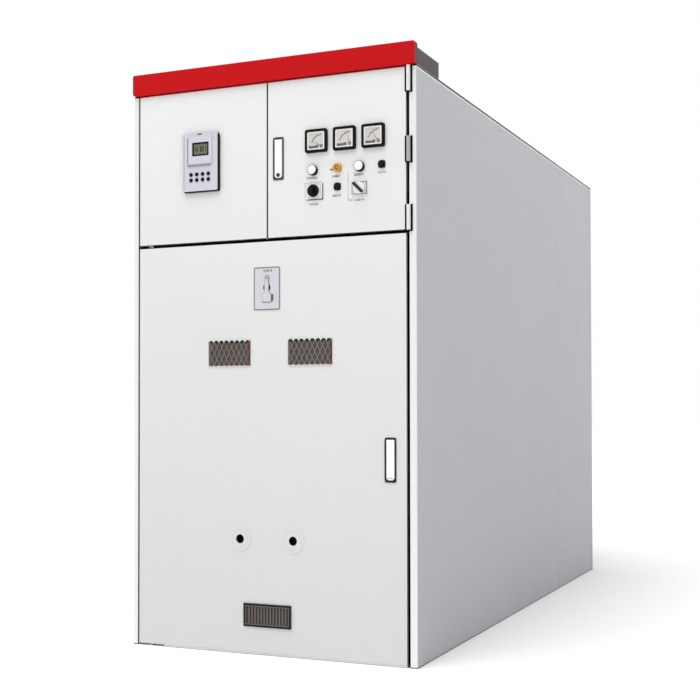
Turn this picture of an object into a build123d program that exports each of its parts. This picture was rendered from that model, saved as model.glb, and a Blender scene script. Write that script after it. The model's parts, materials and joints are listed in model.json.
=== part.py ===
from build123d import *
import os

# High voltage switchgear cabinet, free-standing, in millimetres.
# Origin: centre of the footprint, on the floor. +Z is up and the doors face -Y.

# Overall size
cabinet_width = 1400.0
cabinet_depth = 3000.0
wall_height = 2500.0
band_height = 95.0

# Sheet metal
sheet = 2.0
bend_radius = 3.5
flange_clearance = 3.0
panel_seam = 2.0
side_seam_from_front = 2168.0

# Flats that round parts are drawn with: pins and small bores, drums, wide discs
pin_sides = 12
drum_sides = 24
disc_sides = 36

# Posts and rails, folded from sheet
left_post_width = 23.0
right_post_width = 33.0
front_post_depth = 70.0
rear_post_width = 40.0
rear_post_depth = 45.0
rail_size = 40.0
rail_setback = 36.0

# Base frame of folded channel
channel_height = 60.0
channel_width = 50.0
channel_wall = 4.0
base_setback = 80.0
anchor_hole_radius = 9.0
anchor_from_face = 200.0

# Doors and front panels
door_depth = 30.0
door_lip = 15.0
left_gap = 7.0
right_gap = 11.0
door_bottom = 8.0
main_door_top = 1801.0
middle_gap = 10.0
top_gap = 5.0
split_left_of_centre = 9.0
split_gap = 7.0

# Main door pivots, hidden behind the left edge of the door
pivot_inset = 60.0
pivot_setback = 12.0
pivot_pin_radius = 5.0
pivot_pin_length = 30.0
pivot_plate_thickness = 4.0
pivot_block_width = 24.0
pivot_block_height = 20.0
pin_clearance = 0.3

# Barrel hinges of the instrument door
hinge_axis_past_jamb = 1.0
barrel_radius = 8.5
barrel_clearance = 0.5
barrel_length = 104.0
knuckle_gap = 0.6
hinge_pin_radius = 3.0
hinge_pin_reach = 40.0
hinge_leaf_thickness = 3.0
hinge_leaf_reach = 14.0
middle_hinge_drop = 5.0

# Lintel band and the wire box behind it
band_proud = 16.0
band_corner = 10.0
band_chamfer = 2.0
band_fold = 30.0
wire_box_inset = 25.0
wire_box_depth = 306.0
wire_box_height = 91.0

# Roof
relief_flap_width = 1000.0
relief_flap_length = 560.0
relief_flap_thickness = 3.0
relief_flap_count = 3

# Compartments
instrument_depth = 650.0
breaker_depth = 1450.0
rear_cover_split = 1250.0
cover_clearance = 0.3

# Black strips that seal the front openings
seal_width = 12.0
seal_clearance = 1.0

# Controller, placed from the middle of the fixed panel
controller_place = (0.5, 16.5)
controller_width = 182.0
controller_height = 257.0
controller_corner = 5.0
controller_body_proud = 14.0
controller_plate_thickness = 4.0
controller_rear_width = 150.0
controller_rear_height = 220.0
controller_rear_depth = 90.0
hood_place = (4.0, 54.5)
hood_width = 130.0
hood_height = 134.0
hood_step = 2.5
hood_ledge = 5.0
display_place = (7.0, 57.0)
display_width = 86.0
display_height = 61.0
display_recess = 2.5
key_radius = 9.0
key_proud = 2.5
key_columns = 4
key_rows = 2
key_pitch_x = 30.0
key_pitch_z = 25.0
key_block_place = (1.0, -67.0)

# Instruments, placed by their inset from the hinge edge of the instrument door
# and their height above its middle
meter_count = 3
meter_first_inset = 418.0
meter_pitch = 134.0
meter_rise = 64.0
meter_width = 105.0
meter_tall = 100.0
meter_corner = 10.0
meter_proud = 12.0
meter_rim = 9.0
meter_recess = 6.0
meter_body_size = 80.0
meter_body_depth = 60.0
dial_thickness = 1.5

# Lamps and buttons
white_lamp_places = ((437.0, -59.0), (216.0, -59.0))
yellow_lamp_place = (318.0, -59.0)
lamp_collar_radius = 22.0
lamp_collar_proud = 11.0
lens_radius = 21.5
lens_height = 4.0
yellow_lamp_radius = 19.0
yellow_lamp_proud = 13.0
device_body_size = 30.0
device_body_depth = 45.0
upper_button_place = (113.0, -59.0)
lower_button_place = (320.0, -139.0)
button_radius = 11.5
button_proud = 11.0
button_travel = 4.0
button_stem_depth = 12.0
collar_radius = 17.0
collar_proud = 5.0
button_clearance = 0.4

# Rotary switches
selector_place = (432.0, -150.0)
selector_plate = (84.0, 72.0)
selector_knob_radius = 26.0
selector_grip_width = 14.0
changeover_place = (216.0, -152.0)
changeover_plate = (70.0, 66.0)
changeover_knob_radius = 25.0
changeover_lever_length = 62.0
changeover_lever_width = 14.0
changeover_lever_angle = 45.0
switch_plate_thickness = 4.0
switch_body_size = 48.0
switch_body_depth = 50.0
knob_disc_height = 9.0
knob_grip_height = 12.0
knob_lift = 0.5
shaft_size = 7.0
shaft_depth = 12.0

# Flip-out handles
handle_width = 53.0
handle_height = 187.0
handle_corner = 13.0
handle_flange = 3.0
pocket_width = 47.0
pocket_height = 182.0
pocket_corner = 11.0
pocket_depth = 14.0
tub_wall = 2.0
lever_width = 36.0
lever_top = 84.0
lever_bottom = -84.0
lever_front = 4.0
lever_back = 3.0
lever_corner = 12.0
lever_chamfer = 1.5
lever_pivot_height = 80.0
lever_pivot_setback = 1.0
lever_knuckle_radius = 5.0
lever_pin_radius = 2.5
instrument_handle_place = (53.0, 3.0)
main_handle_place = (76.0, 847.0)

# Emergency plate, placed from the middle of the main door and down from its top
emergency_offset = 1.0
emergency_drop = 208.0
emergency_size = (130.0, 188.0)
emergency_corner = 8.0
emergency_thickness = 2.5
trip_hole_radius = 18.0
trip_hole_height = 4.0
flap_pin_height = 46.0
flap_pin_radius = 4.0
flap_pin_cap = 3.0
flap_thickness = 3.0
flap_lift = 0.5
flap_neck_width = 18.0
flap_neck_length = 58.0
flap_shoulder_drop = 16.0
flap_foot_width = 43.0
flap_length = 104.0
flap_corner = 5.0
flap_stop_place = (29.0, -40.0)
flap_stop_size = (8.0, 28.0)
flap_stop_proud = 3.0

# Mesh windows, placed from the middle of the main door and down from its top
window_offsets = (-188.0, 211.0)
window_drop = 487.0
window_size = (212.0, 116.0)
window_border = 6.0
mesh_thickness = 3.0
mesh_columns = 8
mesh_rows = 2
mesh_strand = 5.0
pane_overlap = 8.0
pane_thickness = 3.0

# Vent grille at the foot of the main door
vent_offset = 3.0
vent_height = 164.0
vent_size = (234.0, 100.0)
vent_border = 9.0
vent_inner_border = 4.0
vent_proud = 6.0
vent_slat_pitch = 15.0
vent_slat_width = 7.0

# Round holes for the crank handles
crank_offsets = (-134.0, 128.0)
crank_height = 492.0
crank_hole_radius = 20.0
escutcheon_radius = 54.0
escutcheon_thickness = 2.0

# Clearance around every piece that passes through a door skin
cutout_clearance = 0.5

# Planes worked out from the sizes above
left_x = -cabinet_width / 2
right_x = cabinet_width / 2
front_y = -cabinet_depth / 2
rear_y = cabinet_depth / 2
door_back_y = front_y + door_depth
rail_y = front_y + rail_setback
rail_back_y = rail_y + rail_size
floor_z = channel_height + sheet
side_inner_x = right_x - sheet
side_flange = left_post_width - flange_clearance
partition_half = side_inner_x - (bend_radius - sheet)
partition_top = wall_height - bend_radius
seam_y = front_y + side_seam_from_front
post_back_y = front_y + front_post_depth
left_jamb_x = left_x + left_post_width
right_jamb_x = right_x - right_post_width
door_left_x = left_jamb_x + left_gap
door_right_x = right_jamb_x - right_gap
split_x = -split_left_of_centre
upper_bottom = main_door_top + middle_gap
upper_top = wall_height - top_gap
rail_bottom_z = main_door_top + middle_gap / 2
rail_top_z = rail_bottom_z + rail_size
pivot_x = door_left_x + pivot_inset
pivot_y = front_y + pivot_setback
hinge_x = right_jamb_x + hinge_axis_past_jamb
hinge_y = front_y - barrel_radius - barrel_clearance
upper_middle_z = (upper_bottom + upper_top) / 2
panel_middle_x = (door_left_x + split_x) / 2
main_middle_x = (door_left_x + door_right_x) / 2
skin = (0, sheet)


def block(x, y, z):
    # Box between the low and the high value on each axis
    size = Box(x[1] - x[0], y[1] - y[0], z[1] - z[0])
    return Pos((x[0] + x[1]) / 2, (y[0] + y[1]) / 2, (z[0] + z[1]) / 2) * size


def front_edges(part):
    return part.faces().sort_by(Axis.Y)[0].edges()


def tray(x, z, front, depth, lip=0.0):
    # Folded sheet tray with its skin towards -Y and, where lip is given, an inward lip at the back
    back = front + depth
    shell = fillet(front_edges(block(x, (front, back), z)), bend_radius)
    cavity_back = back - sheet if lip else back
    inner_x = (x[0] + sheet, x[1] - sheet)
    inner_z = (z[0] + sheet, z[1] - sheet)
    cavity = block(inner_x, (front + sheet, cavity_back), inner_z)
    shell -= fillet(front_edges(cavity), bend_radius - sheet)
    if lip:
        mouth_x = (inner_x[0] + lip, inner_x[1] - lip)
        mouth_z = (inner_z[0] + lip, inner_z[1] - lip)
        shell -= block(mouth_x, (front + sheet, back), mouth_z)
    return shell


def channel(width, depth, length):
    # Upright folded channel on the origin, its web towards -Y and its mouth towards +Y
    outer = fillet(Rectangle(width, depth).vertices().sort_by(Axis.Y)[:2], bend_radius)
    inner = Pos(0, sheet) * Rectangle(width - 2 * sheet, depth)
    return extrude(outer - inner, length)


def rail(x, y_front, z_bottom):
    # Folded channel that lies along X between two posts
    start = (x[0], y_front + rail_size / 2, z_bottom + rail_size / 2)
    return Pos(*start) * Rot(0, 90, 0) * channel(rail_size, rail_size, x[1] - x[0])


def on_controller(place, part):
    x = panel_middle_x + controller_place[0] + place[0]
    return Pos(x, front_y, upper_middle_z + controller_place[1] + place[1]) * part


def on_instrument_door(place, part):
    # Place is the inset from the hinge edge and the height above the middle of the door
    return Pos(door_right_x - place[0], front_y, upper_middle_z + place[1]) * part


def on_main_door(offset, z, part):
    return Pos(main_middle_x + offset, front_y, z) * part


def plate_y(width, height, corner, y0, y1):
    # Rounded plate in the XZ plane, from y0 to y1
    return extrude(Plane.XZ.offset(-y0) * RectangleRounded(width, height, corner), -(y1 - y0))


def block_y(width, height, y0, y1):
    # Sharp-cornered block centred on the Y axis, from y0 to y1
    return Pos(0, (y0 + y1) / 2, 0) * Box(width, y1 - y0, height)


def rod_y(radius, y0, y1, sides=drum_sides):
    # Round rod from y0 to y1, the corners of its outline on the radius
    return extrude(Plane.XZ.offset(-y0) * RegularPolygon(radius, sides), -(y1 - y0))


def bore_y(radius, y0, y1, sides=drum_sides):
    # What a round bore takes away from y0 to y1, its flats on the radius
    outline = RegularPolygon(radius, sides, major_radius=False)
    return extrude(Plane.XZ.offset(-y0) * outline, -(y1 - y0))


def rod_z(radius, length, sides=pin_sides):
    # Round rod along Z, centred on the origin
    return extrude(RegularPolygon(radius, sides), length / 2, both=True)


def bore_z(radius, length):
    outline = RegularPolygon(radius, pin_sides, major_radius=False)
    return extrude(outline, length / 2, both=True)


def along_x(part, y, z):
    # Turns a part that lies along Z to lie along X at the given y and z
    return Pos(0, y, z) * Rot(0, 90, 0) * part


# Carcase

base_front_y = front_y + base_setback
base_rear_y = rear_y - rear_post_depth
base_half_width = side_inner_x
anchor_x = base_half_width - channel_width / 2
anchor_y = cabinet_depth / 2 - anchor_from_face
band_front_y = front_y - band_proud
band_back_y = band_front_y + band_fold
wire_box_back_y = band_back_y + wire_box_depth
roof_top_z = wall_height + sheet
instrument_back_y = front_y + instrument_depth
breaker_back_y = front_y + breaker_depth
jambs = (left_jamb_x, right_jamb_x)


def channel_x(x, y, open_back):
    # Channel along X, its open side towards +Y where open_back is true
    web = block(x, y, (0, channel_height))
    hollow_y = (y[0] + channel_wall, y[1]) if open_back else (y[0], y[1] - channel_wall)
    return web - block(x, hollow_y, (channel_wall, channel_height - channel_wall))


def channel_y(x, y, open_left):
    web = block(x, y, (0, channel_height))
    hollow_x = (x[0], x[1] - channel_wall) if open_left else (x[0] + channel_wall, x[1])
    return web - block(hollow_x, y, (channel_wall, channel_height - channel_wall))


def base_frame():
    # Two side channels, a channel at each end and a cross channel under the middle
    inner = base_half_width - channel_width
    frame = channel_y((-base_half_width, -inner), (base_front_y, base_rear_y), False)
    frame += channel_y((inner, base_half_width), (base_front_y, base_rear_y), True)
    frame += channel_x((-inner, inner), (base_front_y, base_front_y + channel_width), True)
    frame += channel_x((-inner, inner), (base_rear_y - channel_width, base_rear_y), False)
    frame += channel_x((-inner, inner), (-channel_width / 2, channel_width / 2), True)
    for x in (-anchor_x, anchor_x):
        for y in (-anchor_y, anchor_y):
            frame -= Pos(x, y, 0) * Cylinder(anchor_hole_radius, 3 * channel_wall)
    return frame


def floor_plate():
    x = (-base_half_width, base_half_width)
    return block(x, (base_front_y, base_rear_y), (channel_height, floor_z))


def front_post(width, x_centre):
    place = Pos(x_centre, front_y + front_post_depth / 2, 0)
    return place * channel(width, front_post_depth, wall_height)


def rear_posts():
    # Folded angles at the rear corners with an inward lip beside the covers
    width = rear_post_width
    depth = rear_post_depth
    outline = Pos(-width / 2, -depth / 2) * Rectangle(width, depth)
    outline = fillet(outline.vertices().group_by(Axis.Y)[-1].sort_by(Axis.X)[-1], bend_radius)
    inner = (-width + sheet, -sheet)
    hollow = Pos(sum(inner) / 2, -sheet - depth / 2) * Rectangle(inner[1] - inner[0], depth)
    post = Pos(right_x, rear_y, 0) * extrude(outline - hollow, wall_height)
    return Compound([post, mirror(post, about=Plane.YZ)])


def side_panel(y0, y1):
    # Right-hand side panel, a tray turned to face +X, with its flanges cut off beside the base
    panel = Rot(0, 0, 90) * tray((y0, y1), (0, wall_height), -right_x, side_flange)
    return panel - block((right_x - side_flange, side_inner_x), (y0, y1), (0, floor_z))


def centre_post():
    length = wall_height - rail_size - rail_top_z
    place = Pos(split_x, rail_y + rail_size / 2, rail_top_z)
    return place * channel(rail_size, rail_size, length)


def seal_strips():
    # Rubber strips on the rails and the centre post that the instrument door closes on
    y = (door_back_y + seal_clearance, rail_y)
    x = (split_x, right_jamb_x)
    foot_top = rail_bottom_z + seal_width
    head_bottom = upper_top - seal_width
    foot = block(x, y, (rail_bottom_z, foot_top))
    head = block(x, y, (head_bottom, upper_top))
    side_x = split_x + split_gap / 2
    side = block((side_x, side_x + seal_width), y, (foot_top, head_bottom))
    return Compound([foot, head, side])


def roof_plates():
    z = (wall_height, roof_top_z)
    x = (left_x, right_x)
    front = block(x, (band_back_y, seam_y - panel_seam / 2), z)
    rear = block(x, (seam_y + panel_seam / 2, rear_y), z)
    return Compound([front, rear])


def relief_flaps():
    # Pressure relief flaps, one over each compartment
    pitch = (rear_y - wire_box_back_y) / relief_flap_count
    flap = Box(relief_flap_width, relief_flap_length, relief_flap_thickness)
    z = roof_top_z + relief_flap_thickness / 2
    places = [wire_box_back_y + (i + 0.5) * pitch for i in range(relief_flap_count)]
    return Compound([Pos(0, y, z) * flap for y in places])


def lintel_band():
    # Folded band with rounded corners and a soft front edge, open at the back
    place = Pos(0, 0, wall_height + band_height / 2)
    outer = plate_y(cabinet_width, band_height, band_corner, band_front_y, band_back_y)
    outer = chamfer(front_edges(outer), band_chamfer)
    inner_width = cabinet_width - 2 * sheet
    inner_height = band_height - 2 * sheet
    cavity_y = (band_front_y + sheet, band_back_y)
    return place * (outer - plate_y(inner_width, inner_height, band_corner - sheet, *cavity_y))


def wire_box():
    # Sheet box open at its foot, standing on the roof behind the band
    x = (left_x + wire_box_inset, right_x - wire_box_inset)
    top = roof_top_z + wire_box_height
    box = block(x, (band_back_y, wire_box_back_y), (roof_top_z, top))
    inner_x = (x[0] + sheet, x[1] - sheet)
    inner_y = (band_back_y + sheet, wire_box_back_y - sheet)
    return box - block(inner_x, inner_y, (roof_top_z, top - sheet))


def instrument_floor():
    # Shelf under the instrument compartment, seated on the middle rail
    z = (rail_top_z - sheet, rail_top_z)
    y = (rail_back_y, instrument_back_y + sheet)
    return block((-side_inner_x, side_inner_x), y, z)


def instrument_back():
    x = (-partition_half, partition_half)
    y = (instrument_back_y, instrument_back_y + sheet)
    return block(x, y, (rail_top_z, partition_top))


def partition(y):
    z = (floor_z, partition_top)
    return block((-partition_half, partition_half), (y, y + sheet), z)


def rear_cover(z):
    # Bolted rear cover, a tray turned to face +Y
    half = right_x - rear_post_width - cover_clearance
    return Rot(0, 0, 180) * tray((-half, half), z, -rear_y, rear_post_depth)


# Hinges and pivots

half_barrel = (barrel_length - knuckle_gap) / 2


def hinge_heights():
    # Foot of each barrel hinge, the middle one a little below the middle of the door
    low = upper_bottom
    high = upper_top - barrel_length
    return (low, (low + high) / 2 - middle_hinge_drop, high)


def knuckle(direction):
    # Half of a barrel hinge with its leaf on the front face; direction is the side of the leaf
    barrel = Pos(0, 0, half_barrel / 2) * rod_z(barrel_radius, half_barrel, drum_sides)
    leaf_back = barrel_radius + barrel_clearance
    leaf_x = (0, hinge_leaf_reach) if direction > 0 else (-hinge_leaf_reach, 0)
    leaf = block(leaf_x, (leaf_back - hinge_leaf_thickness, leaf_back), (0, half_barrel))
    return barrel + leaf


def fixed_knuckles():
    # Lower halves on the right post, each with its upright pin
    pin_length = half_barrel + knuckle_gap + hinge_pin_reach
    pin = Pos(0, 0, pin_length / 2) * rod_z(hinge_pin_radius, pin_length)
    half = knuckle(1) + pin
    return Compound([Pos(hinge_x, hinge_y, z) * half for z in hinge_heights()])


def door_knuckles():
    bore_length = 2 * (hinge_pin_reach + knuckle_gap)
    half = knuckle(-1) - bore_z(hinge_pin_radius + pin_clearance, bore_length)
    lift = half_barrel + knuckle_gap
    return Compound([Pos(hinge_x, hinge_y, z + lift) * half for z in hinge_heights()])


def pivot_brackets():
    # Plates at the foot and the head of the main door, each with a pin into the door
    half = pivot_block_width / 2
    x = (pivot_x - half, pivot_x + half)
    low_front = front_y + bend_radius
    foot = block(x, (low_front, base_front_y), (0, pivot_plate_thickness))
    foot_pin_top = door_bottom + pivot_pin_length
    foot += Pos(pivot_x, pivot_y, foot_pin_top / 2) * rod_z(pivot_pin_radius, foot_pin_top)
    head_z = (rail_bottom_z, rail_bottom_z + pivot_plate_thickness)
    head = block(x, (low_front, rail_y), head_z)
    head_pin_foot = main_door_top - pivot_pin_length
    head_pin_length = head_z[1] - head_pin_foot
    head_pin = rod_z(pivot_pin_radius, head_pin_length)
    head += Pos(pivot_x, pivot_y, head_pin_foot + head_pin_length / 2) * head_pin
    return Compound([foot, head])


# Doors and the fixed panel

def square_hole(width, height):
    clear = 2 * cutout_clearance
    return block_y(width + clear, height + clear, *skin)


def handle_cutout():
    width = pocket_width + 2 * tub_wall
    height = pocket_height + 2 * tub_wall
    return square_hole(width, height)


def instrument_door_panel():
    x = (split_x + split_gap, door_right_x)
    door = tray(x, (upper_bottom, upper_top), front_y, door_depth, door_lip)
    for place in meter_places:
        door -= on_instrument_door(place, square_hole(meter_body_size, meter_body_size))
    device_hole = square_hole(device_body_size, device_body_size)
    devices = (*white_lamp_places, yellow_lamp_place, upper_button_place, lower_button_place)
    for place in devices:
        door -= on_instrument_door(place, device_hole)
    for place in (selector_place, changeover_place):
        door -= on_instrument_door(place, square_hole(switch_body_size, switch_body_size))
    return door - on_instrument_handle(handle_cutout())


def main_door_panel():
    x = (door_left_x, door_right_x)
    door = tray(x, (door_bottom, main_door_top), front_y, door_depth, door_lip)
    half = pivot_block_width / 2
    block_x = (pivot_x - half, pivot_x + half)
    block_y_range = (front_y + sheet, door_back_y - sheet)
    foot = (door_bottom + sheet, door_bottom + pivot_block_height)
    head = (main_door_top - pivot_block_height, main_door_top - sheet)
    door += block(block_x, block_y_range, foot)
    door += block(block_x, block_y_range, head)
    bore_length = pivot_pin_length + pin_clearance
    bore = bore_z(pivot_pin_radius + pin_clearance, 2 * bore_length)
    door -= Pos(pivot_x, pivot_y, door_bottom) * bore
    door -= Pos(pivot_x, pivot_y, main_door_top) * bore
    window_hole = block_y(*window_clear, *skin)
    for offset in window_offsets:
        door -= on_main_door(offset, window_z, window_hole)
    door -= on_main_door(vent_offset, vent_z, block_y(*vent_clear, *skin))
    for offset in crank_offsets:
        door -= on_main_door(offset, crank_z, bore_y(crank_hole_radius, *skin))
    trip = Pos(0, 0, trip_hole_height) * bore_y(trip_hole_radius, *skin)
    door -= on_main_door(emergency_offset, emergency_z, trip)
    return door - on_main_handle(handle_cutout())


def controller_panel():
    # Fixed panel that carries the controller, seated on the rails and the centre post
    x = (door_left_x, split_x)
    panel = tray(x, (upper_bottom, upper_top), front_y, rail_setback, door_lip)
    hole = square_hole(controller_rear_width, controller_rear_height)
    return panel - on_controller((0, 0), hole)


# Controller

plate_front = -controller_body_proud - controller_plate_thickness
hood_front = plate_front - 2 * hood_step


def controller_body():
    body_y = (-controller_body_proud, 0)
    body = plate_y(controller_width, controller_height, controller_corner, *body_y)
    rear = block_y(controller_rear_width, controller_rear_height, 0, controller_rear_depth)
    return on_controller((0, 0), body + rear)


def controller_housing():
    # Light front plate with a hood raised in two steps round the display
    plate_range = (plate_front, -controller_body_proud)
    plate = plate_y(controller_width, controller_height, controller_corner, *plate_range)
    hood_base = block_y(hood_width, hood_height, plate_front - hood_step, plate_front)
    top_width = hood_width - 2 * hood_ledge
    top_height = hood_height - 2 * hood_ledge
    hood_top = block_y(top_width, top_height, hood_front, plate_front - hood_step)
    plate += Pos(hood_place[0], 0, hood_place[1]) * (hood_base + hood_top)
    recess = block_y(display_width, display_height, hood_front, hood_front + 2 * display_recess)
    return on_controller((0, 0), plate - Pos(display_place[0], 0, display_place[1]) * recess)


def controller_display():
    glass_y = (hood_front + display_recess, hood_front + 2 * display_recess)
    return on_controller(display_place, block_y(display_width, display_height, *glass_y))


def controller_keys():
    outline = Plane.XZ.offset(-plate_front) * RegularPolygon(key_radius, pin_sides)
    key = extrude(outline, key_proud)
    keys = GridLocations(key_pitch_x, key_pitch_z, key_columns, key_rows)
    places = [(spot.position.X, spot.position.Y) for spot in keys]
    x, z = key_block_place
    return Compound([on_controller((x + u, z + v), key) for u, v in places])


# Meters, lamps, buttons and switches

meter_places = [(meter_first_inset - i * meter_pitch, meter_rise) for i in range(meter_count)]
rim_width = meter_width - 2 * meter_rim
rim_height = meter_tall - 2 * meter_rim
dial_back = meter_recess - meter_proud


def meters():
    meter = plate_y(meter_width, meter_tall, meter_corner, -meter_proud, 0)
    meter += block_y(meter_body_size, meter_body_size, 0, meter_body_depth)
    meter -= block_y(rim_width, rim_height, -meter_proud, dial_back)
    return Compound([on_instrument_door(place, meter) for place in meter_places])


def meter_dials():
    dial = block_y(rim_width, rim_height, dial_back - dial_thickness, dial_back)
    return Compound([on_instrument_door(place, dial) for place in meter_places])


def device_body():
    # Square body of a lamp or a button behind the door skin
    return block_y(device_body_size, device_body_size, 0, device_body_depth)


def lamp_collars():
    collar = rod_y(lamp_collar_radius, -lamp_collar_proud, 0) + device_body()
    return Compound([on_instrument_door(place, collar) for place in white_lamp_places])


def white_lamps():
    tip = -lamp_collar_proud - lens_height
    lens = rod_y(lens_radius, tip, -lamp_collar_proud)
    return Compound([on_instrument_door(place, lens) for place in white_lamp_places])


def yellow_lamp():
    lamp = rod_y(yellow_lamp_radius, -yellow_lamp_proud, 0) + device_body()
    return on_instrument_door(yellow_lamp_place, lamp)


def button_collars():
    collar = rod_y(collar_radius, -collar_proud, 0) + device_body()
    well_end = button_stem_depth + button_travel + button_clearance
    collar -= bore_y(button_radius + button_clearance, -collar_proud, well_end)
    places = (upper_button_place, lower_button_place)
    return Compound([on_instrument_door(place, collar) for place in places])


def button():
    return rod_y(button_radius, -button_proud, button_stem_depth)


def rotary_switch(plate_size):
    # Square plate and body with a round bore for the knob's square shaft
    body = plate_y(*plate_size, controller_corner, -switch_plate_thickness, 0)
    body += block_y(switch_body_size, switch_body_size, 0, switch_body_depth)
    bore_radius = shaft_size / 2 * 2**0.5 + pin_clearance
    bore_end = shaft_depth + pin_clearance
    return body - bore_y(bore_radius, -switch_plate_thickness, bore_end, pin_sides)


knob_back = -switch_plate_thickness - knob_lift
knob_disc_front = knob_back - knob_disc_height
knob_grip_front = knob_disc_front - knob_grip_height


def knob(radius, grip):
    # Round disc with a bar across it to hold, and a square shaft behind
    shaft = block_y(shaft_size, shaft_size, knob_back, shaft_depth)
    return rod_y(radius, knob_disc_front, knob_back, disc_sides) + grip + shaft


def selector_knob():
    length = 2 * selector_knob_radius - selector_grip_width
    grip = block_y(selector_grip_width, length, knob_grip_front, knob_disc_front)
    return on_instrument_door(selector_place, knob(selector_knob_radius, grip))


def changeover_knob():
    size = (changeover_lever_width, changeover_lever_length)
    grip = Rot(0, -changeover_lever_angle, 0) * block_y(*size, knob_grip_front, knob_disc_front)
    return on_instrument_door(changeover_place, knob(changeover_knob_radius, grip))


# Flip-out handles

def on_instrument_handle(part):
    x = split_x + split_gap + instrument_handle_place[0]
    return Pos(x, front_y, upper_middle_z + instrument_handle_place[1]) * part


def on_main_handle(part):
    x = door_right_x - main_handle_place[0]
    return Pos(x, front_y, door_bottom + main_handle_place[1]) * part


def at_lever_pivot(part):
    return along_x(part, lever_pivot_setback, lever_pivot_height)


def handle_tray():
    # Flange round a pocket, with the lever's pin across its upper end
    shape = plate_y(handle_width, handle_height, handle_corner, -handle_flange, 0)
    tub_width = pocket_width + 2 * tub_wall
    tub_height = pocket_height + 2 * tub_wall
    shape += block_y(tub_width, tub_height, 0, pocket_depth + tub_wall)
    shape -= plate_y(pocket_width, pocket_height, pocket_corner, -handle_flange, pocket_depth)
    return shape + at_lever_pivot(rod_z(lever_pin_radius, tub_width))


def handle_lever():
    height = lever_top - lever_bottom
    middle = (lever_top + lever_bottom) / 2
    bar = Pos(0, 0, middle) * plate_y(lever_width, height, lever_corner, -lever_front, lever_back)
    bar = chamfer(front_edges(bar), lever_chamfer)
    bar += at_lever_pivot(rod_z(lever_knuckle_radius, lever_width))
    bore_radius = lever_pin_radius + pin_clearance
    return bar - at_lever_pivot(bore_z(bore_radius, 2 * lever_width))


# Main door fittings

window_z = main_door_top - window_drop
window_clear = (window_size[0] - 2 * window_border, window_size[1] - 2 * window_border)
emergency_z = main_door_top - emergency_drop
vent_z = door_bottom + vent_height
vent_clear = (vent_size[0] - 2 * vent_border, vent_size[1] - 2 * vent_border)
crank_z = door_bottom + crank_height


def flap_outline():
    # Bottle shape that hangs from its round head: a neck, sloping shoulders and a wide foot
    neck = flap_neck_width / 2
    foot = flap_foot_width / 2
    neck_z = -flap_neck_length
    foot_z = neck_z - flap_shoulder_drop
    right = [(neck, 0), (neck, neck_z), (foot, foot_z), (foot, -flap_length)]
    left = [(-x, z) for x, z in reversed(right)]
    bottle = make_face(Polyline(*right, *left, close=True))
    bottle = fillet(bottle.vertices().group_by(Axis.Y)[0], flap_corner)
    return bottle + RegularPolygon(neck, drum_sides)


def emergency_plate():
    plate = plate_y(*emergency_size, emergency_corner, -emergency_thickness, 0)
    plate -= Pos(0, 0, trip_hole_height) * bore_y(trip_hole_radius, -emergency_thickness, 0)
    pin_y = flap_front - flap_lift
    pin = rod_y(flap_pin_radius, pin_y, -emergency_thickness, pin_sides)
    cap = rod_y(flap_pin_radius + flap_pin_cap, pin_y - flap_pin_cap, pin_y, pin_sides)
    plate += Pos(0, 0, flap_pin_height) * (pin + cap)
    stop_y = (-emergency_thickness - flap_stop_proud, -emergency_thickness)
    stop = Pos(flap_stop_place[0], 0, flap_stop_place[1]) * block_y(*flap_stop_size, *stop_y)
    return on_main_door(emergency_offset, emergency_z, plate + stop)


flap_back = -emergency_thickness - flap_lift
flap_front = flap_back - flap_thickness


def emergency_flap():
    flap = extrude(Plane.XZ.offset(-flap_front) * flap_outline(), -flap_thickness)
    flap -= bore_y(flap_pin_radius + pin_clearance, flap_front, flap_back, pin_sides)
    return on_main_door(emergency_offset, emergency_z + flap_pin_height, flap)


def mesh_window():
    # Expanded metal: rows of diamond openings, every other row shifted by half a pitch
    clear = Rectangle(*window_clear)
    pitch_x = window_clear[0] / mesh_columns
    pitch_z = window_clear[1] / mesh_rows
    half_x = (pitch_x - mesh_strand) / 2
    half_z = half_x * pitch_z / pitch_x
    diamond = Polygon((half_x, 0), (0, half_z), (-half_x, 0), (0, -half_z), align=None)
    sheet_face = Rectangle(*window_size)
    for row in range(2 * mesh_rows + 1):
        z = (row / 2) * pitch_z - window_clear[1] / 2
        shift = 0.5 if row % 2 == 0 else 0.0
        for column in range(mesh_columns + row % 2):
            x = (column + shift) * pitch_x - window_clear[0] / 2
            sheet_face -= (Pos(x, z) * diamond) & clear
    return extrude(Plane.XZ * sheet_face, mesh_thickness)


def mesh_windows():
    return Compound([on_main_door(offset, window_z, mesh_window()) for offset in window_offsets])


def window_panes():
    # Panes behind the door skin that close the two mesh windows
    size = [length + 2 * pane_overlap for length in window_clear]
    pane = block_y(*size, sheet, sheet + pane_thickness)
    return Compound([on_main_door(offset, window_z, pane) for offset in window_offsets])


def vent_grille():
    # Frame with a thin inner rim and upright slats
    width, height = vent_clear
    frame = block_y(*vent_size, -vent_proud, 0) - block_y(width, height, -vent_proud, 0)
    inner = (width - 2 * vent_inner_border, height - 2 * vent_inner_border)
    rim_y = (-vent_proud / 2, 0)
    frame += block_y(width, height, *rim_y) - block_y(*inner, *rim_y)
    count = int(inner[0] // vent_slat_pitch)
    slat = block_y(vent_slat_width, inner[1], *rim_y)
    for place in GridLocations(vent_slat_pitch, 1, count, 1):
        frame += Pos(place.position.X, 0, 0) * slat
    return on_main_door(vent_offset, vent_z, frame)


def vent_filter():
    size = [length + 2 * pane_overlap for length in vent_clear]
    return on_main_door(vent_offset, vent_z, block_y(*size, sheet, sheet + pane_thickness))


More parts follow.
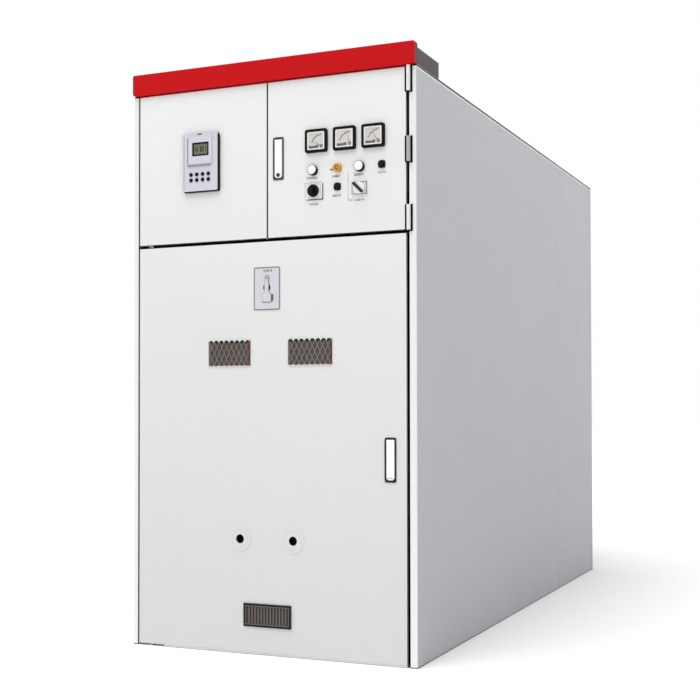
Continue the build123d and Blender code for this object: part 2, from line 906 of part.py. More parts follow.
def escutcheons():
    ring = rod_y(escutcheon_radius, -escutcheon_thickness, 0, disc_sides)
    ring -= bore_y(crank_hole_radius, -escutcheon_thickness, 0)
    return Compound([on_main_door(offset, crank_z, ring) for offset in crank_offsets])


front_side = side_panel(post_back_y, seam_y - panel_seam / 2)
rear_side = side_panel(seam_y + panel_seam / 2, rear_y - rear_post_depth)
upper_cover_z = (rear_cover_split + panel_seam / 2, upper_top)
lower_cover_z = (door_bottom, rear_cover_split - panel_seam / 2)

nodes = {
    "base_frame": base_frame(),
    "floor_plate": floor_plate(),
    "left_front_post": front_post(left_post_width, left_x + left_post_width / 2),
    "right_front_post": front_post(right_post_width, right_x - right_post_width / 2),
    "rear_posts": rear_posts(),
    "right_front_side_panel": front_side,
    "right_rear_side_panel": rear_side,
    "left_front_side_panel": mirror(front_side, about=Plane.YZ),
    "left_rear_side_panel": mirror(rear_side, about=Plane.YZ),
    "top_rail": rail(jambs, rail_y, wall_height - rail_size),
    "middle_rail": rail(jambs, rail_y, rail_bottom_z),
    "centre_post": centre_post(),
    "seal_strips": seal_strips(),
    "instrument_floor": instrument_floor(),
    "instrument_back": instrument_back(),
    "breaker_partition": partition(breaker_back_y),
    "cable_partition": partition(seam_y + panel_seam / 2 + sheet),
    "roof_plates": roof_plates(),
    "relief_flaps": relief_flaps(),
    "lintel_band": lintel_band(),
    "wire_box": wire_box(),
    "upper_rear_cover": rear_cover(upper_cover_z),
    "lower_rear_cover": rear_cover(lower_cover_z),
    "fixed_hinge_knuckles": fixed_knuckles(),
    "door_pivot_brackets": pivot_brackets(),
    "controller_panel": controller_panel(),
    "controller_body": controller_body(),
    "controller_housing": controller_housing(),
    "controller_display": controller_display(),
    "controller_keys": controller_keys(),
    "instrument_door_panel": instrument_door_panel(),
    "door_hinge_knuckles": door_knuckles(),
    "panel_meters": meters(),
    "meter_dials": meter_dials(),
    "lamp_collars": lamp_collars(),
    "white_lamps": white_lamps(),
    "yellow_lamp": yellow_lamp(),
    "button_collars": button_collars(),
    "upper_button": on_instrument_door(upper_button_place, button()),
    "lower_button": on_instrument_door(lower_button_place, button()),
    "selector_switch": on_instrument_door(selector_place, rotary_switch(selector_plate)),
    "selector_knob": selector_knob(),
    "changeover_switch": on_instrument_door(changeover_place, rotary_switch(changeover_plate)),
    "changeover_knob": changeover_knob(),
    "instrument_handle_tray": on_instrument_handle(handle_tray()),
    "instrument_handle_lever": on_instrument_handle(handle_lever()),
    "main_door_panel": main_door_panel(),
    "emergency_plate": emergency_plate(),
    "emergency_flap": emergency_flap(),
    "mesh_windows": mesh_windows(),
    "window_panes": window_panes(),
    "vent_grille": vent_grille(),
    "vent_filter": vent_filter(),
    "crank_escutcheons": escutcheons(),
    "main_handle_tray": on_main_handle(handle_tray()),
    "main_handle_lever": on_main_handle(handle_lever()),
}

os.makedirs("parts", exist_ok=True)
for name, shape in nodes.items():
    export_step(shape, f"parts/{name}.step")
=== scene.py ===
import json
import math
import random

import bmesh
import bpy
from mathutils import Matrix, Vector


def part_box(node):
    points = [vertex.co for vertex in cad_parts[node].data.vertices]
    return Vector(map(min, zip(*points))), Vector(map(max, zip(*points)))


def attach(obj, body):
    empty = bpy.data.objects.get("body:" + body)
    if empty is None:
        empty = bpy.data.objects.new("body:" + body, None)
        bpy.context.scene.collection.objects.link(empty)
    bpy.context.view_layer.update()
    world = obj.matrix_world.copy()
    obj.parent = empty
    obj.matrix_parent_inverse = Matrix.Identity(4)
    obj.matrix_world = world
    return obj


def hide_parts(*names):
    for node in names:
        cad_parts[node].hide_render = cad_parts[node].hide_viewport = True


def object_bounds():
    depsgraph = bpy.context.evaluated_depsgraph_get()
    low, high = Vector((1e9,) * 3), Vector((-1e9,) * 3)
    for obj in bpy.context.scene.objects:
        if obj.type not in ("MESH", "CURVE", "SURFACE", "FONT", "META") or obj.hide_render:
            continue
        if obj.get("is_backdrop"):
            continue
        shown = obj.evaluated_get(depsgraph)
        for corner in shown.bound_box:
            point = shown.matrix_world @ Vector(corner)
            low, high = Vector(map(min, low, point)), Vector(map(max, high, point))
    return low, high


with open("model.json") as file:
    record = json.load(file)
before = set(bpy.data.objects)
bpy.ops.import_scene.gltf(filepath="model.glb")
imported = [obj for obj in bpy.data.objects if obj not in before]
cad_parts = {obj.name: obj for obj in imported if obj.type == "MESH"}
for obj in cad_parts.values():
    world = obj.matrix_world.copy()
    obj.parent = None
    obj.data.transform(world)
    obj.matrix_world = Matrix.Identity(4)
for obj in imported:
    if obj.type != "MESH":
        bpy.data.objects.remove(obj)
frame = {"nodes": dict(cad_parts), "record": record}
cadLow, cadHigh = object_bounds()
print("stage: frame loaded")


# Shader helpers


# Linear colour of a screen colour given from 0 to 255
def fromScreen(red, green, blue):
    linear = []
    for value in (red / 255, green / 255, blue / 255):
        linear.append(value / 12.92 if value <= 0.04045 else ((value + 0.055) / 1.055) ** 2.4)
    return (*linear, 1.0)


def addNode(tree, kind, inputs=None, **settings):
    node = tree.nodes.new(kind)
    for name, value in settings.items():
        setattr(node, name, value)
    for name, value in (inputs or {}).items():
        node.inputs[name].default_value = value
    return node


# Math node whose inputs are sockets or plain numbers
def addMath(tree, operation, first, second):
    node = tree.nodes.new("ShaderNodeMath")
    node.operation = operation
    for index, value in enumerate((first, second)):
        if isinstance(value, (int, float)):
            node.inputs[index].default_value = value
        else:
            tree.links.new(value, node.inputs[index])
    return node.outputs[0]


def addRange(tree, value, low, high, toLow, toHigh):
    limits = {"From Min": low, "From Max": high, "To Min": toLow, "To Max": toHigh}
    node = addNode(tree, "ShaderNodeMapRange", limits)
    tree.links.new(value, node.inputs["Value"])
    return node.outputs["Result"]


# Shader node group with named float or colour sockets, and its input and output nodes
def newGroup(name, inputs, outputs):
    tree = bpy.data.node_groups.new(name, "ShaderNodeTree")
    for socketName, kind, value in inputs:
        socket = tree.interface.new_socket(socketName, in_out="INPUT", socket_type=kind)
        socket.default_value = value
    for socketName, kind in outputs:
        tree.interface.new_socket(socketName, in_out="OUTPUT", socket_type=kind)
    return tree, tree.nodes.new("NodeGroupInput"), tree.nodes.new("NodeGroupOutput")


surfaceInputs = [
    ("Color", "NodeSocketColor", (0.8, 0.8, 0.8, 1.0)),
    ("Rough", "NodeSocketFloat", 0.5),
    ("Drift", "NodeSocketFloat", 0.05),
    ("Grain", "NodeSocketFloat", 1.0),
    ("Foot", "NodeSocketFloat", 1.0),
]
surfaceOutputs = [
    ("Color", "NodeSocketColor"),
    ("Roughness", "NodeSocketFloat"),
    ("Height", "NodeSocketFloat"),
]


def noise(tree, coordinates, scale, detail):
    node = addNode(tree, "ShaderNodeTexNoise", {"Scale": scale, "Detail": detail})
    tree.links.new(coordinates, node.inputs["Vector"])
    return node.outputs["Fac"]


# Colour multiplied by a factor
def shade(tree, color, factor):
    node = addNode(tree, "ShaderNodeVectorMath", operation="SCALE")
    tree.links.new(color, node.inputs[0])
    tree.links.new(factor, node.inputs["Scale"])
    return node.outputs["Vector"]


finish = {
    "driftDetail": 3.0,
    "grainDetail": 2.0,
    "sheenDetail": 4.0,
    "patches": (0.88, 1.08),
    "sheenRange": 0.22,
    "reliefStrength": 0.35,
    "reliefDepth": 0.0004,
}


# Colour drift, painted shade that darkens the colour towards the floor, uneven sheen and a fine relief, with
# crystal-like patches where flake isn't zero
def makeSurfaceGroup(name, driftScale, grainScale, sheenScale, flake):
    tree, source, result = newGroup(name, surfaceInputs, surfaceOutputs)
    coordinates = tree.nodes.new("ShaderNodeTexCoord").outputs["Object"]
    broad = noise(tree, coordinates, driftScale, finish["driftDetail"])
    fine = noise(tree, coordinates, grainScale, finish["grainDetail"])
    uneven = noise(tree, coordinates, sheenScale, finish["sheenDetail"])
    centred = addMath(tree, "SUBTRACT", broad, 0.5)
    drift = addMath(tree, "MULTIPLY", centred, source.outputs["Drift"])
    brightness = addMath(tree, "ADD", addMath(tree, "MULTIPLY", drift, 2.0), 1.0)
    if flake:
        cells = addNode(tree, "ShaderNodeTexVoronoi", {"Scale": flake})
        tree.links.new(coordinates, cells.inputs["Vector"])
        parts = tree.nodes.new("ShaderNodeSeparateColor")
        tree.links.new(cells.outputs["Color"], parts.inputs["Color"])
        patches = addRange(tree, parts.outputs["Red"], 0.0, 1.0, *finish["patches"])
        brightness = addMath(tree, "MULTIPLY", brightness, patches)
    # Painted shade: the colour darkens from the top of the frame down to the foot brightness at the floor
    axes = tree.nodes.new("ShaderNodeSeparateXYZ")
    tree.links.new(coordinates, axes.inputs["Vector"])
    height = addRange(tree, axes.outputs["Z"], 0.0, cadHigh.z, 0.0, 1.0)
    foot = addMath(tree, "SUBTRACT", 1.0, source.outputs["Foot"])
    paintedFootShade = addMath(tree, "MULTIPLY", addMath(tree, "SUBTRACT", 1.0, height), foot)
    brightness = addMath(tree, "MULTIPLY", brightness, addMath(tree, "SUBTRACT", 1.0, paintedFootShade))
    tree.links.new(shade(tree, source.outputs["Color"], brightness), result.inputs["Color"])
    sheen = addMath(tree, "MULTIPLY", addMath(tree, "SUBTRACT", uneven, 0.5), finish["sheenRange"])
    rough = addMath(tree, "ADD", source.outputs["Rough"], sheen)
    tree.links.new(rough, result.inputs["Roughness"])
    relief = addMath(tree, "MULTIPLY", fine, source.outputs["Grain"])
    tree.links.new(relief, result.inputs["Height"])
    return tree


# Noise scales of the three kinds of surface
kinds = {
    "paint": {"driftScale": 0.8, "grainScale": 420.0, "sheenScale": 9.0, "flake": 0.0},
    "metal": {"driftScale": 3.0, "grainScale": 260.0, "sheenScale": 24.0, "flake": 45.0},
    "plastic": {"driftScale": 14.0, "grainScale": 900.0, "sheenScale": 60.0, "flake": 0.0},
}
groups = {name: makeSurfaceGroup(name + "Surface", **scales) for name, scales in kinds.items()}


# A second colour where the place along a direction lies between two limits
def makeBandGroup():
    inputs = [
        ("Color", "NodeSocketColor", (0.8, 0.8, 0.8, 1.0)),
        ("Band Color", "NodeSocketColor", (0.8, 0.8, 0.8, 1.0)),
        ("Direction", "NodeSocketVector", (0.0, 0.0, 1.0)),
        ("Low", "NodeSocketFloat", 0.0),
        ("High", "NodeSocketFloat", 1.0),
    ]
    tree, source, result = newGroup("bandColor", inputs, [("Color", "NodeSocketColor")])
    coordinates = tree.nodes.new("ShaderNodeTexCoord").outputs["Object"]
    along = addNode(tree, "ShaderNodeVectorMath", operation="DOT_PRODUCT")
    tree.links.new(coordinates, along.inputs[0])
    tree.links.new(source.outputs["Direction"], along.inputs[1])
    above = addMath(tree, "GREATER_THAN", along.outputs["Value"], source.outputs["Low"])
    below = addMath(tree, "LESS_THAN", along.outputs["Value"], source.outputs["High"])
    inside = addMath(tree, "MULTIPLY", above, below)
    outside = addMath(tree, "SUBTRACT", 1.0, inside)
    total = addNode(tree, "ShaderNodeVectorMath", operation="ADD")
    tree.links.new(shade(tree, source.outputs["Color"], outside), total.inputs[0])
    tree.links.new(shade(tree, source.outputs["Band Color"], inside), total.inputs[1])
    tree.links.new(total.outputs["Vector"], result.inputs["Color"])
    return tree


bandGroup = makeBandGroup()

# Looks of the record's material slots and a few of the scene's own: kind of surface, colour on screen,
# roughness, metal, colour drift, relief, coat, how bright the colour stays at the floor under the
# painted shade that darkens it towards the bottom, specular level
looks = {
    "front_paint": ("paint", (231, 233, 232), 0.45, 0.0, 0.03, 1.0, 0.0, 0.75, 0.3),
    # side_paint: the front's paint darkened by painted shade, for the side walls that face away from the
    # light
    "side_paint": ("paint", (203, 205, 209), 0.5, 0.0, 0.04, 1.0, 0.0, 0.84, 0.2),
    "galvanised_sheet": ("metal", (176, 179, 181), 0.38, 0.85, 0.08, 0.6, 0.0, 1.0, 0.5),
    "band_red": ("paint", (190, 8, 15), 0.5, 0.0, 0.06, 0.8, 0.0, 1.0, 0.12),
    "box_grey": ("paint", (100, 91, 95), 0.55, 0.0, 0.1, 1.0, 0.0, 1.0, 0.15),
    "rail_black": ("paint", (18, 18, 19), 0.6, 0.0, 0.1, 1.0, 0.0, 1.0, 0.1),
    "seal_rubber": ("plastic", (8, 8, 9), 0.9, 0.0, 0.1, 1.6, 0.0, 1.0, 0.05),
    "hinge_zinc": ("paint", (228, 228, 226), 0.4, 0.0, 0.06, 0.8, 0.1, 1.0, 0.4),
    "controller_plastic": ("plastic", (204, 204, 214), 0.5, 0.0, 0.03, 1.4, 0.0, 1.0, 0.3),
    "display_glass": ("plastic", (112, 114, 94), 0.35, 0.0, 0.08, 0.1, 0.0, 1.0, 0.2),
    "key_black": ("plastic", (10, 10, 12), 0.55, 0.0, 0.1, 1.2, 0.0, 1.0, 0.15),
    "meter_black": ("plastic", (7, 7, 8), 0.5, 0.0, 0.1, 0.6, 0.0, 1.0, 0.12),
    "dial_cream": ("plastic", (206, 202, 197), 0.6, 0.0, 0.08, 0.5, 0.0, 1.0, 0.3),
    "lamp_white": ("plastic", (240, 240, 237), 0.25, 0.0, 0.02, 0.1, 0.3, 1.0, 0.5),
    "lamp_yellow": ("plastic", (205, 152, 30), 0.3, 0.25, 0.18, 0.2, 0.2, 1.0, 0.4),
    "button_black": ("plastic", (11, 11, 14), 0.4, 0.0, 0.1, 0.4, 0.0, 1.0, 0.2),
    "knob_black": ("plastic", (8, 8, 10), 0.5, 0.0, 0.1, 0.8, 0.0, 1.0, 0.15),
    "knob_grey": ("plastic", (38, 36, 36), 0.45, 0.0, 0.1, 0.8, 0.0, 1.0, 0.2),
    "switch_grey": ("plastic", (205, 203, 201), 0.45, 0.0, 0.05, 0.8, 0.0, 1.0, 0.3),
    "tray_grey": ("plastic", (104, 96, 92), 0.5, 0.0, 0.12, 1.2, 0.0, 1.0, 0.2),
    "lever_white": ("paint", (244, 244, 244), 0.35, 0.0, 0.02, 0.5, 0.1, 1.0, 0.4),
    "pane_brown": ("plastic", (90, 82, 79), 0.3, 0.0, 0.2, 0.2, 0.0, 1.0, 0.2),
    "filter_brown": ("plastic", (80, 75, 71), 0.95, 0.0, 0.2, 2.5, 0.0, 1.0, 0.1),
    "mesh_brown": ("paint", (117, 109, 105), 0.55, 0.1, 0.14, 1.4, 0.0, 1.0, 0.2),
    "plate_aluminium": ("plastic", (205, 205, 211), 0.45, 0.2, 0.03, 0.5, 0.0, 1.0, 0.3),
    "line_grey": ("plastic", (122, 121, 126), 0.6, 0.0, 0.06, 0.5, 0.0, 1.0, 0.2),
    "line_pale": ("plastic", (190, 191, 193), 0.6, 0.0, 0.04, 0.5, 0.0, 1.0, 0.2),
    "switch_pale": ("plastic", (233, 233, 232), 0.45, 0.0, 0.04, 0.8, 0.0, 1.0, 0.3),
    # The vent's look: the mesh paint darkened by painted shade between its slats
    "vent_shaded_brown": ("paint", (100, 93, 89), 0.55, 0.1, 0.14, 1.4, 0.0, 1.0, 0.2),
    "edge_rust": ("plastic", (96, 58, 52), 0.6, 0.0, 0.25, 0.8, 0.0, 1.0, 0.15),
}

# Painted stretches of a look, several of them painted light and shade: direction, from, to and colour on
# screen
postLow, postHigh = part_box("right_front_post")
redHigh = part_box("lintel_band")[1]
middleHinge = (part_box("fixed_hinge_knuckles")[0].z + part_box("door_hinge_knuckles")[1].z) / 2
bands = {
    "side_paint": [
        # Painted light on the front posts: their front faces in the lit colour of the front
        ((0, 1, 0), postLow.y - 0.01, postLow.y + 0.0015, (228, 230, 230)),
        # Painted shadow under the roof's edge along the top of the side walls
        ((0, 0, 1), postHigh.z - 0.0075, postHigh.z + 0.01, (22, 24, 27)),
        # Painted highlight on the rounded fold just below it
        ((0, 0, 1), postHigh.z - 0.014, postHigh.z - 0.0075, (250, 250, 250)),
        # A darker strip along the foot of the side walls
        ((0, 0, 1), postLow.z - 0.01, postLow.z + 0.005, (104, 106, 110)),
    ],
    "hinge_zinc": [((0, 0, 1), middleHinge - 0.073, middleHinge + 0.067, (172, 166, 168))],
    # Painted shade on the right end face of the red band
    "band_red": [((1, 0, 0), redHigh.x - 0.0015, redHigh.x + 0.01, (98, 88, 93))],
}


def makeMaterial(name, look):
    group, color, rough, metal, drift, grain, coat, foot, specular = look
    material = bpy.data.materials.new(name)
    material.use_nodes = True
    tree = material.node_tree
    shader = tree.nodes["Principled BSDF"]
    surface = tree.nodes.new("ShaderNodeGroup")
    surface.node_tree = groups[group]
    values = {"Color": fromScreen(*color), "Rough": rough, "Drift": drift, "Grain": grain, "Foot": foot}
    for socketName, value in values.items():
        surface.inputs[socketName].default_value = value
    shown = surface.outputs["Color"]
    for direction, low, high, bandShown in bands.get(name, []):
        band = tree.nodes.new("ShaderNodeGroup")
        band.node_tree = bandGroup
        limits = {"Direction": direction, "Low": low, "High": high, "Band Color": fromScreen(*bandShown)}
        for socketName, value in limits.items():
            band.inputs[socketName].default_value = value
        tree.links.new(shown, band.inputs["Color"])
        shown = band.outputs["Color"]
    relief = {"Strength": finish["reliefStrength"], "Distance": finish["reliefDepth"]}
    bump = addNode(tree, "ShaderNodeBump", relief)
    tree.links.new(shown, shader.inputs["Base Color"])
    tree.links.new(surface.outputs["Roughness"], shader.inputs["Roughness"])
    tree.links.new(surface.outputs["Height"], bump.inputs["Height"])
    tree.links.new(bump.outputs["Normal"], shader.inputs["Normal"])
    shader.inputs["Metallic"].default_value = metal
    shader.inputs["Coat Weight"].default_value = coat
    shader.inputs["Specular IOR Level"].default_value = specular
    return material


materials = {name: makeMaterial(name, look) for name, look in looks.items()}

# Nodes whose look isn't that of their slot
repainted = {
    # The front posts take the side walls' painted shade, and a band lights their front faces again
    "left_front_post": "side_paint",
    "right_front_post": "side_paint",
    "door_pivot_brackets": "galvanised_sheet",
    "selector_switch": "switch_pale",
    "vent_grille": "vent_shaded_brown",
}
for part in frame["record"]["subparts"]:
    mesh = frame["nodes"][part["node"]].data
    mesh.materials.clear()
    mesh.materials.append(materials[repainted.get(part["node"], part["material_slot"])])
print("stage: materials on the frame")


# Mesh helpers


# Box between two corners with softened edges
def boxShape(bm, low, high, bevel=0.0):
    size = [b - a for a, b in zip(low, high)]
    middle = [(a + b) / 2 for a, b in zip(low, high)]
    made = bmesh.ops.create_cube(bm, size=1.0)["verts"]
    matrix = Matrix.Translation(middle) @ Matrix.Diagonal((*size, 1.0))
    bmesh.ops.transform(bm, matrix=matrix, verts=made)
    if bevel:
        edges = list({edge for vertex in made for edge in vertex.link_edges})
        bmesh.ops.bevel(bm, geom=edges, offset=bevel, segments=2, profile=0.5, affect="EDGES")


# Steps of a circle: a lamp or knob, a key or lock, a screw or pin
manySteps = 48
someSteps = 32
fewSteps = 24


def circleLoop(x, z, radius, steps=manySteps):
    turns = [2 * math.pi * i / steps for i in range(steps)]
    return [(x + radius * math.cos(a), z + radius * math.sin(a)) for a in turns]


# Corner points of a rounded rectangle in the XZ plane
def roundedLoop(x, z, width, height, radius, steps=6):
    points = []
    spots = ((1, 1, 0), (-1, 1, 90), (-1, -1, 180), (1, -1, 270))
    for signX, signZ, start in spots:
        cornerX = x + signX * (width / 2 - radius)
        cornerZ = z + signZ * (height / 2 - radius)
        for i in range(steps + 1):
            angle = math.radians(start + 90 * i / steps)
            points.append((cornerX + radius * math.cos(angle), cornerZ + radius * math.sin(angle)))
    return points


def loopVerts(bm, loop, y):
    return [bm.verts.new((x, y, z)) for x, z in loop]


def joinLoops(bm, first, second):
    count = len(first)
    for i in range(count):
        j = (i + 1) % count
        bm.faces.new((first[i], first[j], second[j], second[i]))


# Closed stack of loops, each a list of (x, z) points and its y, from front to back
def prismShape(bm, loops):
    rings = [loopVerts(bm, loop, y) for loop, y in loops]
    for first, second in zip(rings, rings[1:]):
        joinLoops(bm, first, second)
    bm.faces.new(rings[0])
    bm.faces.new(rings[-1])


# Flat ring between two loops with the same number of points, its front edges softened
def ringShape(bm, outer, inner, front, back, soft=0.0):
    centreX = sum(x for x, z in outer) / len(outer)
    centreZ = sum(z for x, z in outer) / len(outer)

    def eased(loop, amount):
        moved = []
        for x, z in loop:
            reach = math.hypot(x - centreX, z - centreZ)
            moved.append((x + (centreX - x) / reach * amount, z + (centreZ - z) / reach * amount))
        return moved

    rings = [
        loopVerts(bm, outer, back),
        loopVerts(bm, outer, front + soft),
        loopVerts(bm, eased(outer, soft), front),
        loopVerts(bm, eased(inner, -soft), front),
        loopVerts(bm, inner, front + soft),
        loopVerts(bm, inner, back),
    ]
    for first, second in zip(rings, rings[1:] + rings[:1]):
        joinLoops(bm, first, second)


# Loops of a round cap that bulges towards the front
def domeLoops(x, z, radius, front, back, steps=manySteps, layers=5, flat=0.6):
    loops = [(circleLoop(x, z, radius, steps), back)]
    for i in range(layers):
        angle = math.pi / 2 * (i + 1) / (layers + flat)
        y = back - (back - front) * math.sin(angle)
        loops.append((circleLoop(x, z, radius * math.cos(angle), steps), y))
    return loops


sharpAngle = 35


# Object made from the mesh, its faces turned outward and shaded smooth by angle
def finishMesh(name, bm):
    bmesh.ops.recalc_face_normals(bm, faces=bm.faces)
    mesh = bpy.data.meshes.new(name)
    bm.to_mesh(mesh)
    bm.free()
    mesh.shade_smooth()
    mesh.set_sharp_from_angle(angle=math.radians(sharpAngle))
    item = bpy.data.objects.new(name, mesh)
    bpy.context.scene.collection.objects.link(item)
    return item


def emit(name, bm, body, slotName, look=None):
    item = finishMesh(name, bm)
    item.data.materials.append(materials[look or slotName])
    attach(item, body)
    return item


# Middle and size of a node's box as seen from the front: x, z, width and height
def frontOf(node):
    low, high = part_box(node)
    return (low.x + high.x) / 2, (low.z + high.z) / 2, high.x - low.x, high.z - low.z


# Repeats with geometry nodes


# Copies a template to every point, with a random turn about Y up to the turn range either way
def makeRepeatTree():
    tree = bpy.data.node_groups.new("repeatPiece", "GeometryNodeTree")
    sockets = [
        ("Points", "NodeSocketGeometry"),
        ("Template", "NodeSocketObject"),
        ("Turn Range", "NodeSocketFloat"),
        ("Seed", "NodeSocketInt"),
        ("Material", "NodeSocketMaterial"),
    ]
    for socketName, kind in sockets:
        tree.interface.new_socket(socketName, in_out="INPUT", socket_type=kind)
    tree.interface.new_socket("Pieces", in_out="OUTPUT", socket_type="NodeSocketGeometry")
    source = tree.nodes.new("NodeGroupInput")
    result = tree.nodes.new("NodeGroupOutput")
    template = tree.nodes.new("GeometryNodeObjectInfo")
    turn = tree.nodes.new("FunctionNodeRandomValue")
    lowest = addNode(tree, "ShaderNodeMath", operation="MULTIPLY")
    lowest.inputs[1].default_value = -1.0
    angles = tree.nodes.new("ShaderNodeCombineXYZ")
    copies = tree.nodes.new("GeometryNodeInstanceOnPoints")
    real = tree.nodes.new("GeometryNodeRealizeInstances")
    paint = tree.nodes.new("GeometryNodeSetMaterial")
    links = tree.links
    links.new(source.outputs["Template"], template.inputs["Object"])
    links.new(source.outputs["Turn Range"], lowest.inputs[0])
    links.new(lowest.outputs[0], turn.inputs["Min"])
    links.new(source.outputs["Turn Range"], turn.inputs["Max"])
    links.new(source.outputs["Seed"], turn.inputs["Seed"])
    links.new(turn.outputs["Value"], angles.inputs["Y"])
    links.new(source.outputs["Points"], copies.inputs["Points"])
    links.new(template.outputs["Geometry"], copies.inputs["Instance"])
    links.new(angles.outputs["Vector"], copies.inputs["Rotation"])
    links.new(copies.outputs["Instances"], real.inputs["Geometry"])
    links.new(real.outputs["Geometry"], paint.inputs["Geometry"])
    links.new(source.outputs["Material"], paint.inputs["Material"])
    links.new(paint.outputs["Geometry"], result.inputs["Pieces"])
    return tree


repeatTree = makeRepeatTree()


# One mesh with a copy of the template at each place, made by the repeat tree
def repeatPiece(name, bm, places, body, slotName, turn=0.0, seed=1, look=None):
    template = finishMesh(name + "Template", bm)
    base = bpy.data.meshes.new(name + "Points")
    base.from_pydata([tuple(place) for place in places], [], [])
    holder = bpy.data.objects.new(name + "Holder", base)
    bpy.context.scene.collection.objects.link(holder)
    modifier = holder.modifiers.new("repeat", "NODES")
    modifier.node_group = repeatTree
    values = {
        "Template": template,
        "Turn Range": turn,
        "Seed": seed,
        "Material": materials[look or slotName],
    }
    for socket in repeatTree.interface.items_tree:
        if socket.in_out == "INPUT" and socket.name in values:
            modifier[socket.identifier] = values[socket.name]
    bpy.context.view_layer.update()
    shown = holder.evaluated_get(bpy.context.evaluated_depsgraph_get())
    mesh = bpy.data.meshes.new_from_object(shown)
    mesh.name = name
    holder.modifiers.remove(modifier)
    item = bpy.data.objects.new(name, mesh)
    bpy.context.scene.collection.objects.link(item)
    bpy.data.objects.remove(holder)
    bpy.data.objects.remove(template)
    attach(item, body)
    return item


doorLow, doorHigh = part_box("instrument_door_panel")
mainLow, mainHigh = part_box("main_door_panel")
frontY = doorLow.y
doorMiddleZ = (doorLow.z + doorHigh.z) / 2


# Place on the instrument door from its hinge edge and its middle height
def onDoor(inset, rise):
    return doorHigh.x - inset, doorMiddleZ + rise


# Rows of bare bars under the lamps, buttons and switches, each by its place on the door and its width
labels = {
    "thickness": 0.0004,
    "step": 0.0062,
    "barWidths": (0.002, 0.0042),
    "barHeights": (0.006, 0.0105),
    "drop": 0.001,
    "seed": 11,
    "places": [
        (0.442, -0.093, 0.056), (0.327, -0.094, 0.038), (0.220, -0.094, 0.044), (0.114, -0.093, 0.040),
        (0.434, -0.207, 0.042), (0.323, -0.177, 0.042), (0.216, -0.202, 0.044),
    ],
}


# Bars of uneven width and height side by side
def barRow(bm, x, z, width, frontAt):
    count = round(width / labels["step"])
    for i in range(count):
        middle = x + width * ((i + 0.5) / count - 0.5)
        halfX = random.uniform(*labels["barWidths"]) / 2
        halfZ = random.uniform(*labels["barHeights"]) / 2
        drop = random.uniform(-labels["drop"], labels["drop"])
        low = (middle - halfX, frontAt - labels["thickness"], z + drop - halfZ)
        high = (middle + halfX, frontAt, z + drop + halfZ)
        boxShape(bm, low, high)


random.seed(labels["seed"])
bm = bmesh.new()
for inset, rise, width in labels["places"]:
    barRow(bm, *onDoor(inset, rise), width, frontY)
emit("instrumentLabels", bm, "instrument_door", "key_black", "tray_grey")

# Thin line that links the lamp row with the changeover switch
mimicLine = {
    "width": 0.0016,
    "thickness": 0.0004,
    "corners": ((0.271, -0.075), (0.269, -0.198), (0.248, -0.204)),
}
bm = bmesh.new()
corners = [onDoor(*place) for place in mimicLine["corners"]]
for (x0, z0), (x1, z1) in zip(corners, corners[1:]):
    half = mimicLine["width"] / 2
    low = (min(x0, x1) - half, frontY - mimicLine["thickness"], min(z0, z1) - half)
    high = (max(x0, x1) + half, frontY, max(z0, z1) + half)
    boxShape(bm, low, high)
emit("mimicLine", bm, "instrument_door", "plate_aluminium", "line_pale")
print("stage: labels")


# Meter faces
meterFace = {
    "pitch": 0.134,
    "rim": 0.0115,
    "rimCorners": (0.01, 0.004),
    "rimProud": 0.0004,
    "rimSoft": 0.0003,
    "lightRim": 0.008,
    "lightCorners": (0.004, 0.003),
    "lightDrop": 0.0015,
    "lightSoft": 0.0008,
    "pivot": (0.025, -0.024),
    "pivotRadius": 0.0068,
    "pivotHole": 0.66,
    "scaleRadius": 0.049,
    "scaleFrom": 93.0,
    "scaleTo": 158.0,
    "scaleWidth": 0.0018,
    "scaleSteps": 24,
    "print": (-0.0004, 0.0002),
    "tickCount": 13,
    "longEvery": 4,
    "longTick": (0.0065, 1.0),
    "shortTick": (0.004, 0.6),
    "needleLength": 0.046,
    "needleWidth": 0.0024,
    "needleLift": (0.0016, 0.0010),
    "needleAngles": (152.0, 108.0, 128.0),
    "cover": ((-0.034, -0.031), (0.010, -0.030), (0.008, -0.017), (-0.004, -0.022), (-0.034, -0.021)),
    "coverLift": 0.0022,
}
meterLow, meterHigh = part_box("panel_meters")
dialLow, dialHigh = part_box("meter_dials")
dialHeight = dialHigh.z - dialLow.z
dialWidth = dialHigh.x - dialLow.x - 2 * meterFace["pitch"]
meterZ = (dialLow.z + dialHigh.z) / 2
firstMeterX = dialLow.x + dialWidth / 2
meterXs = [firstMeterX + i * meterFace["pitch"] for i in range(3)]
dialFront = dialLow.y
rimFront = meterLow.y
meterWidth = meterHigh.x - meterLow.x - 2 * meterFace["pitch"]
meterHeight = meterHigh.z - meterLow.z


# Outer and inner loop of a rim of even width
def rimLoops(x, z, width, height, rim, corners):
    outer = roundedLoop(x, z, width, height, corners[0])
    return outer, roundedLoop(x, z, width - 2 * rim, height - 2 * rim, corners[1])


bm = bmesh.new()
proud = meterFace["rimProud"]
for x in meterXs:
    loops = rimLoops(x, meterZ, meterWidth, meterHeight, meterFace["rim"], meterFace["rimCorners"])
    ringShape(bm, *loops, rimFront - proud, rimFront + proud, meterFace["rimSoft"])
emit("meterRims", bm, "instrument_door", "meter_black")
bm = bmesh.new()
for x in meterXs:
    loops = rimLoops(x, meterZ, dialWidth, dialHeight, meterFace["lightRim"], meterFace["lightCorners"])
    ringShape(bm, *loops, rimFront + meterFace["lightDrop"], dialFront, meterFace["lightSoft"])
emit("meterLightRims", bm, "instrument_door", "lamp_white")


def polar(origin, reach, degrees):
    angle = math.radians(degrees)
    return origin[0] + reach * math.cos(angle), origin[1] + reach * math.sin(angle)


